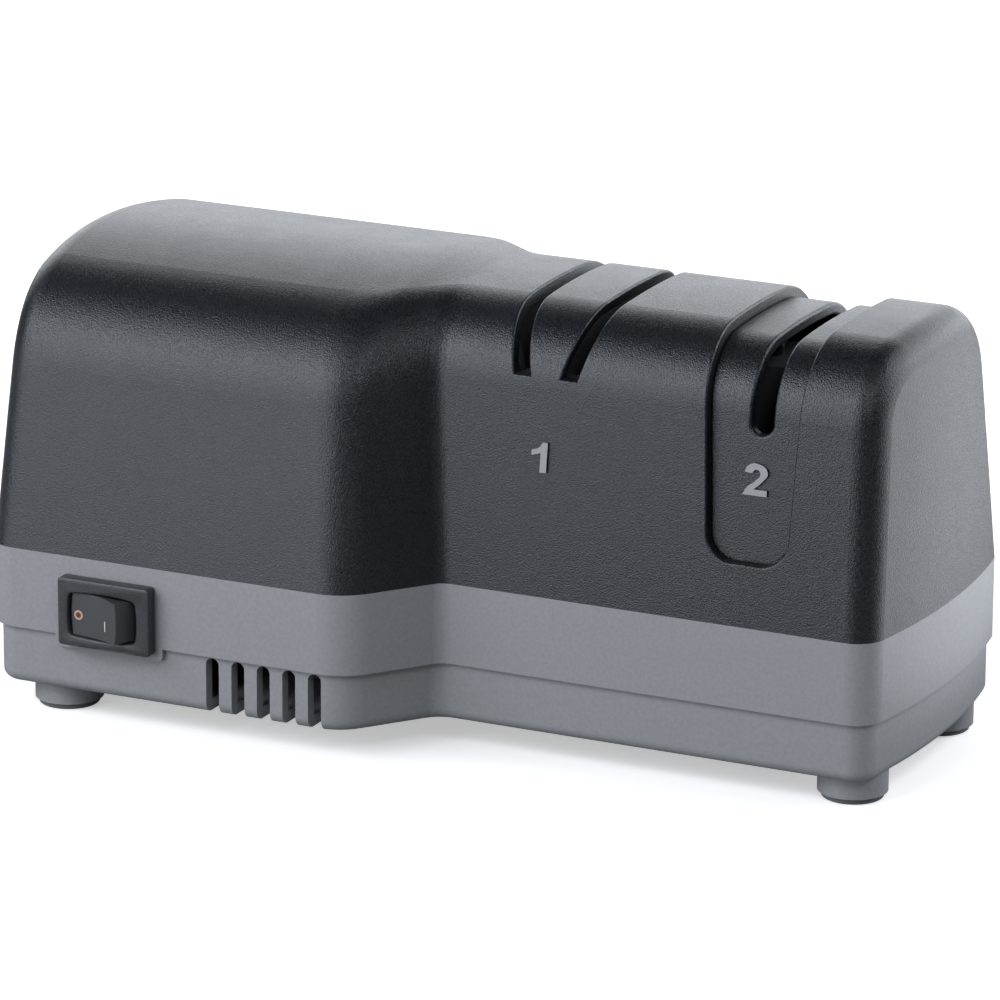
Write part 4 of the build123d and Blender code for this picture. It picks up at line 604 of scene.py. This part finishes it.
def switch_mark(name, surface, spot, shape, finish):
    """Printed mark, laid on the surface that it meets at x and z."""
    x, z = SWITCH_X + spot[0] * MM, SWITCH_Z + spot[1] * MM
    met, normal = surface.ray_cast(Vector((x, -1, z)), Vector((0, 1, 0)))[1:3]
    side = Vector((0, 0, 1)).cross(normal).normalized()
    place = Matrix((side, normal.cross(side), normal)).transposed().to_4x4()
    place.translation = met
    bmesh.ops.transform(shape, matrix=place, verts=shape.verts)
    new_piece(name, shape, finish, "rocker", "rocker_black")


switch_case()
button = rocker()
bpy.context.view_layer.update()
off_ring = ring(OFF_RADIUS * MM, OFF_LINE * MM, INK * MM)
on_bar = bmesh.new()
block(on_bar, (ON_SIZE[0] * MM, ON_SIZE[1] * MM, INK * MM))
switch_mark("mark_off", button, OFF_MARK, off_ring, "mark_orange")
switch_mark("mark_on", button, ON_MARK, on_bar, "mark_pale")


# ---------------------------------------------------------------- spring and field coil
SPRING_WIRE = 0.5 * MM           # half thickness of the wire
SPRING_SIDES = 12
SPRING_STEPS = 40                # in the one turn of each half
COIL_WIRE = 0.7 * MM
COIL_ROUND = 6.0                 # corner of the coil, in millimetres
COIL_BORE = -6.5 * MM            # bore of the coil, measured in from its outline
COIL_SOFTEN = 50


def half_spring(name, side):
    """One half of the spring between the stage 1 disks, from its middle to one end, riding on the
    turning shaft.
    """
    low, high, middle = box_of("disk_spring")
    radius = (high.z - low.z) / 2 - SPRING_WIRE
    half = (high.x - low.x) / 2
    mesh = bmesh.new()
    tip = bmesh.ops.create_circle(mesh, cap_ends=True, segments=SPRING_SIDES, radius=SPRING_WIRE)
    bmesh.ops.translate(mesh, verts=tip["verts"], vec=middle + Vector((0, radius, 0)))
    bmesh.ops.spin(
        mesh, geom=mesh.verts[:] + mesh.edges[:], cent=middle, axis=(side, 0, 0), angle=2 * pi,
        dvec=(side * (half - SPRING_WIRE) / SPRING_STEPS, 0, 0), steps=SPRING_STEPS,
    )
    bmesh.ops.holes_fill(mesh, edges=mesh.edges[:], sides=0)
    piece = new_piece(name, mesh, "spring_steel", "turning_shaft", "spring_steel")
    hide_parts("disk_spring")
    soften(piece)
    tuple(middle)
    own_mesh(piece)


def coil_steps(turns, pitch):
    """Places along the coil, each with how far its outline moves out there, from bore to bore."""
    steps = [(0.0, COIL_BORE)]
    for turn in range(turns):
        steps += [
            ((turn + 0.5 - cos(angle) / 2) * pitch, (sin(angle) - 1) * COIL_WIRE / 2)
            for angle in (0, pi / 6, pi / 3, pi / 2, 2 * pi / 3, 5 * pi / 6)
        ]
    return steps + [(turns * pitch, -COIL_WIRE / 2), (turns * pitch, COIL_BORE)]


def wound_coil():
    """Field coil whose outer layer shows its turns of enamelled wire, side by side along Y."""
    low, high, middle = box_of("field_winding")
    turns = round((high.y - low.y) / COIL_WIRE)
    pitch = (high.y - low.y) / turns
    half = Vector(((high.x - low.x) / 2, 0, (high.z - low.z) / 2))
    line = rounded(-half.x / MM, half.x / MM, -half.z / MM, half.z / MM, COIL_ROUND)
    mesh = bmesh.new()
    corners = [mesh.verts.new((middle.x + x * MM, low.y, middle.z + z * MM)) for x, z, _ in line]
    loop = [mesh.edges.new((corners[i - 1], corners[i])) for i in range(len(corners))]
    place = 0.0
    grown = Vector((1, 1, 1))
    for index, (along, out) in enumerate(coil_steps(turns, pitch)):
        if index:
            loop = edges_in(bmesh.ops.extrude_edge_only(mesh, edges=loop)["geom"])
        verts = list({vert for edge in loop for vert in edge.verts})
        wanted = Vector(((half.x + out) / half.x, 1, (half.z + out) / half.z))
        change = Vector((wanted.x / grown.x, 1, wanted.z / grown.z))
        bmesh.ops.scale(mesh, vec=change, verts=verts, space=Matrix.Translation(-middle))
        bmesh.ops.translate(mesh, verts=verts, vec=(0, along - place, 0))
        place, grown = along, wanted
    bmesh.ops.bridge_loops(mesh, edges=[edge for edge in mesh.edges if edge.is_boundary])
    piece = new_piece("wound_coil", mesh, "winding_copper", "housing", "winding_copper")
    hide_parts("field_winding")
    soften(piece, COIL_SOFTEN)


half_spring("spring_left_half", -1)
half_spring("spring_right_half", 1)
wound_coil()


# ---------------------------------------------------------------- cross recesses of the screws
SCREWS = ("housing_screws", "clamp_screws", "motor_mount_screws", "guide_screws", "carrier_screws")
RECESS = (1.15, 0.26, 1.1)       # length, width and twice the depth of a bar, in head radii
RECESS_TAPER = (0.45, 0.7, 1)    # what is left of the bar's length and width at its foot
HEAD_SHARE = 0.9                 # vertices further out than this share belong to the head


def solids_of(mesh):
    """The vertices of each separate solid of a bmesh."""
    seen = set()
    for start in mesh.verts:
        if start in seen:
            continue
        seen.add(start)
        solid = [start]
        for vert in solid:                      # the list grows while it is walked
            for edge in vert.link_edges:
                other = edge.other_vert(vert)
                if other not in seen:
                    seen.add(other)
                    solid.append(other)
        yield solid


def recess(cutter, screw, turn):
    """Adds to the cutter one tapered bar of the cross in the head of a screw."""
    low = Vector([min(vert.co[i] for vert in screw) for i in range(3)])
    high = Vector([max(vert.co[i] for vert in screw) for i in range(3)])
    middle, span = (low + high) / 2, high - low
    along = max(range(3), key=lambda i: span[i])
    head = max(span[i] for i in range(3) if i != along) / 2
    rim = []
    for vert in screw:
        across = vert.co - middle
        height, across[along] = across[along], 0
        if across.length > HEAD_SHARE * head:
            rim.append(height)
    outward = Vector((0, 0, 0))
    outward[along] = 1 if sum(rim) > 0 else -1
    top = middle + outward * span[along] / 2
    bar = block(cutter, [share * head for share in RECESS])
    foot = [vert for vert in bar if vert.co.z < 0]
    bmesh.ops.scale(cutter, vec=RECESS_TAPER, verts=foot)
    upright = outward.to_track_quat("Z", "Y").to_matrix().to_4x4()
    place = Matrix.Translation(top) @ upright @ Matrix.Rotation(turn, 4, "Z")
    bmesh.ops.transform(cutter, matrix=place, verts=bar)


def cross_headed(node):
    """Screws of a node with a cross recess in each head."""
    mesh = merged(nodes[node].data)
    helpers = []                 # one cutter for each bar of the cross, so that none meets itself
    for turn in (0, pi / 2):
        cutter = bmesh.new()
        for screw in solids_of(mesh):
            recess(cutter, screw, turn)
        helpers.append(linked("cutter", mesh_data("cutter", cutter)))
    screws = linked("screws", mesh_data("screws", mesh))
    for cutter in helpers:
        cut = screws.modifiers.new("recess", "BOOLEAN")
        cut.operation = "DIFFERENCE"
        cut.solver = "EXACT"
        cut.object = cutter
    bpy.context.view_layer.update()
    finished = screws.evaluated_get(bpy.context.evaluated_depsgraph_get())
    result = bmesh.new()
    result.from_mesh(finished.to_mesh())
    finished.to_mesh_clear()
    for helper in helpers + [screws]:
        data = helper.data
        bpy.data.objects.remove(helper)
        bpy.data.meshes.remove(data)
    piece = new_piece(node + "_crossed", result, "screw_steel", "housing", "screw_steel")
    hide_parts(node)
    soften(piece)


for screws in SCREWS:
    cross_headed(screws)


# ---------------------------------------------------------------- studio
AMBIENT = 0.04                   # strength of the world on the object
FLOOR_HALF = 6.0
FLOOR_DROP = 0.02 * MM           # keeps the floor clear of the feet's faces
FLOOR_GREY = 0.35                # floor in reflections and bounces
FLOOR_WHITE = (0.9, 0.9, 0.9)
FLOOR_GLOW = 0.45
LAMP_COLOR = (0.95, 0.98, 1.03)
LIGHT_AIM = Vector((0, 0, 50 * MM))
SOFTBOXES = (                    # name, direction from the object, distance, size, brightness
    ("rear", (-0.40, 1.0, 0.36), 1.2, (1.8, 0.75), 2.35),
    ("right", (0.75, 0.42, 0.5), 1.1, (1.0, 0.9), 2.8),
    ("right_rear", (0.5, 0.86, 0.08), 1.1, (1.0, 0.5), 2.6),
    ("left_high", (-0.50, -0.68, 0.60), 1.1, (1.2, 0.45), 5.6),
    ("spot", (0.50, -0.60, 0.62), 1.3, (0.3, 0.3), 9.0),
    ("left_low", (-0.56, -0.83, 0.15), 1.2, (1.3, 0.45), 3.0),
)
CARDS = (                        # name, middle, size, brightness
    ("right_card", (0.42, 0.31, 0.01), (0.60, 0.62), 1.95),
    ("left_card", (-0.42, -0.85, 0.01), (1.0, 0.8), 3.0),
)
CAMERA_AZIMUTH = radians(25.486)
CAMERA_ELEVATION = radians(16.985)
CAMERA_ROLL = radians(0.25)
CAMERA_DISTANCE = 1.3608
CAMERA_AIM = Vector((-0.83 * MM, 0, 45.12 * MM))
LENS = 226.25                    # on a sensor 36 mm wide
SENSOR = 36
CLIP_START = 0.05


def floor_material():
    """White to the camera with the object's shadow kept, and darker in reflections and bounces."""
    finish = Finish("floor_white", FLOOR_WHITE, 0.9)
    finish.set("Emission Color", (1, 1, 1, 1))
    finish.set("Emission Strength", FLOOR_GLOW)
    plain = finish.add("ShaderNodeBsdfDiffuse", Color=(FLOOR_GREY, FLOOR_GREY, FLOOR_GREY, 1))
    seen = finish.add("ShaderNodeLightPath", out="Is Camera Ray")
    shown = Value(finish, finish.shader.outputs[0])
    mixed = finish.add("ShaderNodeMixShader", values=(seen, plain, shown))
    output = finish.tree.nodes["Material Output"]
    finish.tree.links.new(mixed.socket, output.inputs["Surface"])
    return finish.material


def floor():
    """Plain pale floor, which isn't a part of the object."""
    mesh = bmesh.new()
    bmesh.ops.create_grid(mesh, x_segments=1, y_segments=1, size=FLOOR_HALF)
    bmesh.ops.translate(mesh, verts=mesh.verts, vec=(0, 0, -FLOOR_DROP))
    plane = linked("floor", mesh_data("floor", mesh))
    plane.data.materials.append(floor_material())
    plane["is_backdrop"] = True


def surroundings():
    """World that is white to the camera and dim to the object."""
    world = bpy.data.worlds.new("studio")
    bpy.context.scene.world = world
    world.use_nodes = True
    tree = world.node_tree
    background = tree.nodes["Background"]
    path = tree.nodes.new("ShaderNodeLightPath")
    seen = tree.nodes.new("ShaderNodeMath")
    seen.operation = "MULTIPLY_ADD"
    tree.links.new(path.outputs["Is Camera Ray"], seen.inputs[0])
    seen.inputs[1].default_value = 1.0 - AMBIENT
    seen.inputs[2].default_value = AMBIENT
    tree.links.new(seen.outputs[0], background.inputs["Strength"])
    background.inputs["Color"].default_value = (1, 1, 1, 1)


def area_lamp(name, size, brightness, place, turn):
    """Rectangular lamp with the brightness of its face."""
    data = bpy.data.lights.new(name, "AREA")
    data.shape = "RECTANGLE"
    data.size, data.size_y = size
    data.energy = brightness * pi * size[0] * size[1]
    data.color = LAMP_COLOR
    lamp = linked(name, data)
    lamp.location = place
    lamp.rotation_euler = turn


def softbox(name, direction, distance, size, brightness):
    """Lamp that faces the object from a direction."""
    toward = Vector(direction).normalized()
    turn = toward.to_track_quat("Z", "Y").to_euler()
    area_lamp(name, size, brightness, LIGHT_AIM + toward * distance, turn)


def card(name, middle, size, brightness):
    """Bright card that lies beside the object, outside the picture, and faces up."""
    area_lamp(name, size, brightness, middle, (pi, 0, 0))


def camera():
    """The view from the right front, slightly above."""
    level = Vector((cos(CAMERA_AZIMUTH), sin(CAMERA_AZIMUTH), 0))
    back = Vector((
        sin(CAMERA_AZIMUTH) * cos(CAMERA_ELEVATION),
        -cos(CAMERA_AZIMUTH) * cos(CAMERA_ELEVATION),
        sin(CAMERA_ELEVATION),
    ))
    rise = back.cross(level)
    right = level * cos(CAMERA_ROLL) + rise * sin(CAMERA_ROLL)
    up = rise * cos(CAMERA_ROLL) - level * sin(CAMERA_ROLL)
    data = bpy.data.cameras.new("camera")
    data.lens = LENS
    data.sensor_width = SENSOR
    data.clip_start = CLIP_START
    view = linked("camera", data)
    turn = Matrix((right, up, back)).transposed().to_4x4()
    view.matrix_world = Matrix.Translation(CAMERA_AIM + back * CAMERA_DISTANCE) @ turn
    bpy.context.scene.camera = view


floor()
surroundings()
for lamp in SOFTBOXES:
    softbox(*lamp)
for lamp in CARDS:
    card(*lamp)
camera()
bpy.context.scene.view_settings.view_transform = "Standard"

({name: [list(corner) for corner in box] for name, box in
     (("cad", cad_box), ("visual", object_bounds()))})
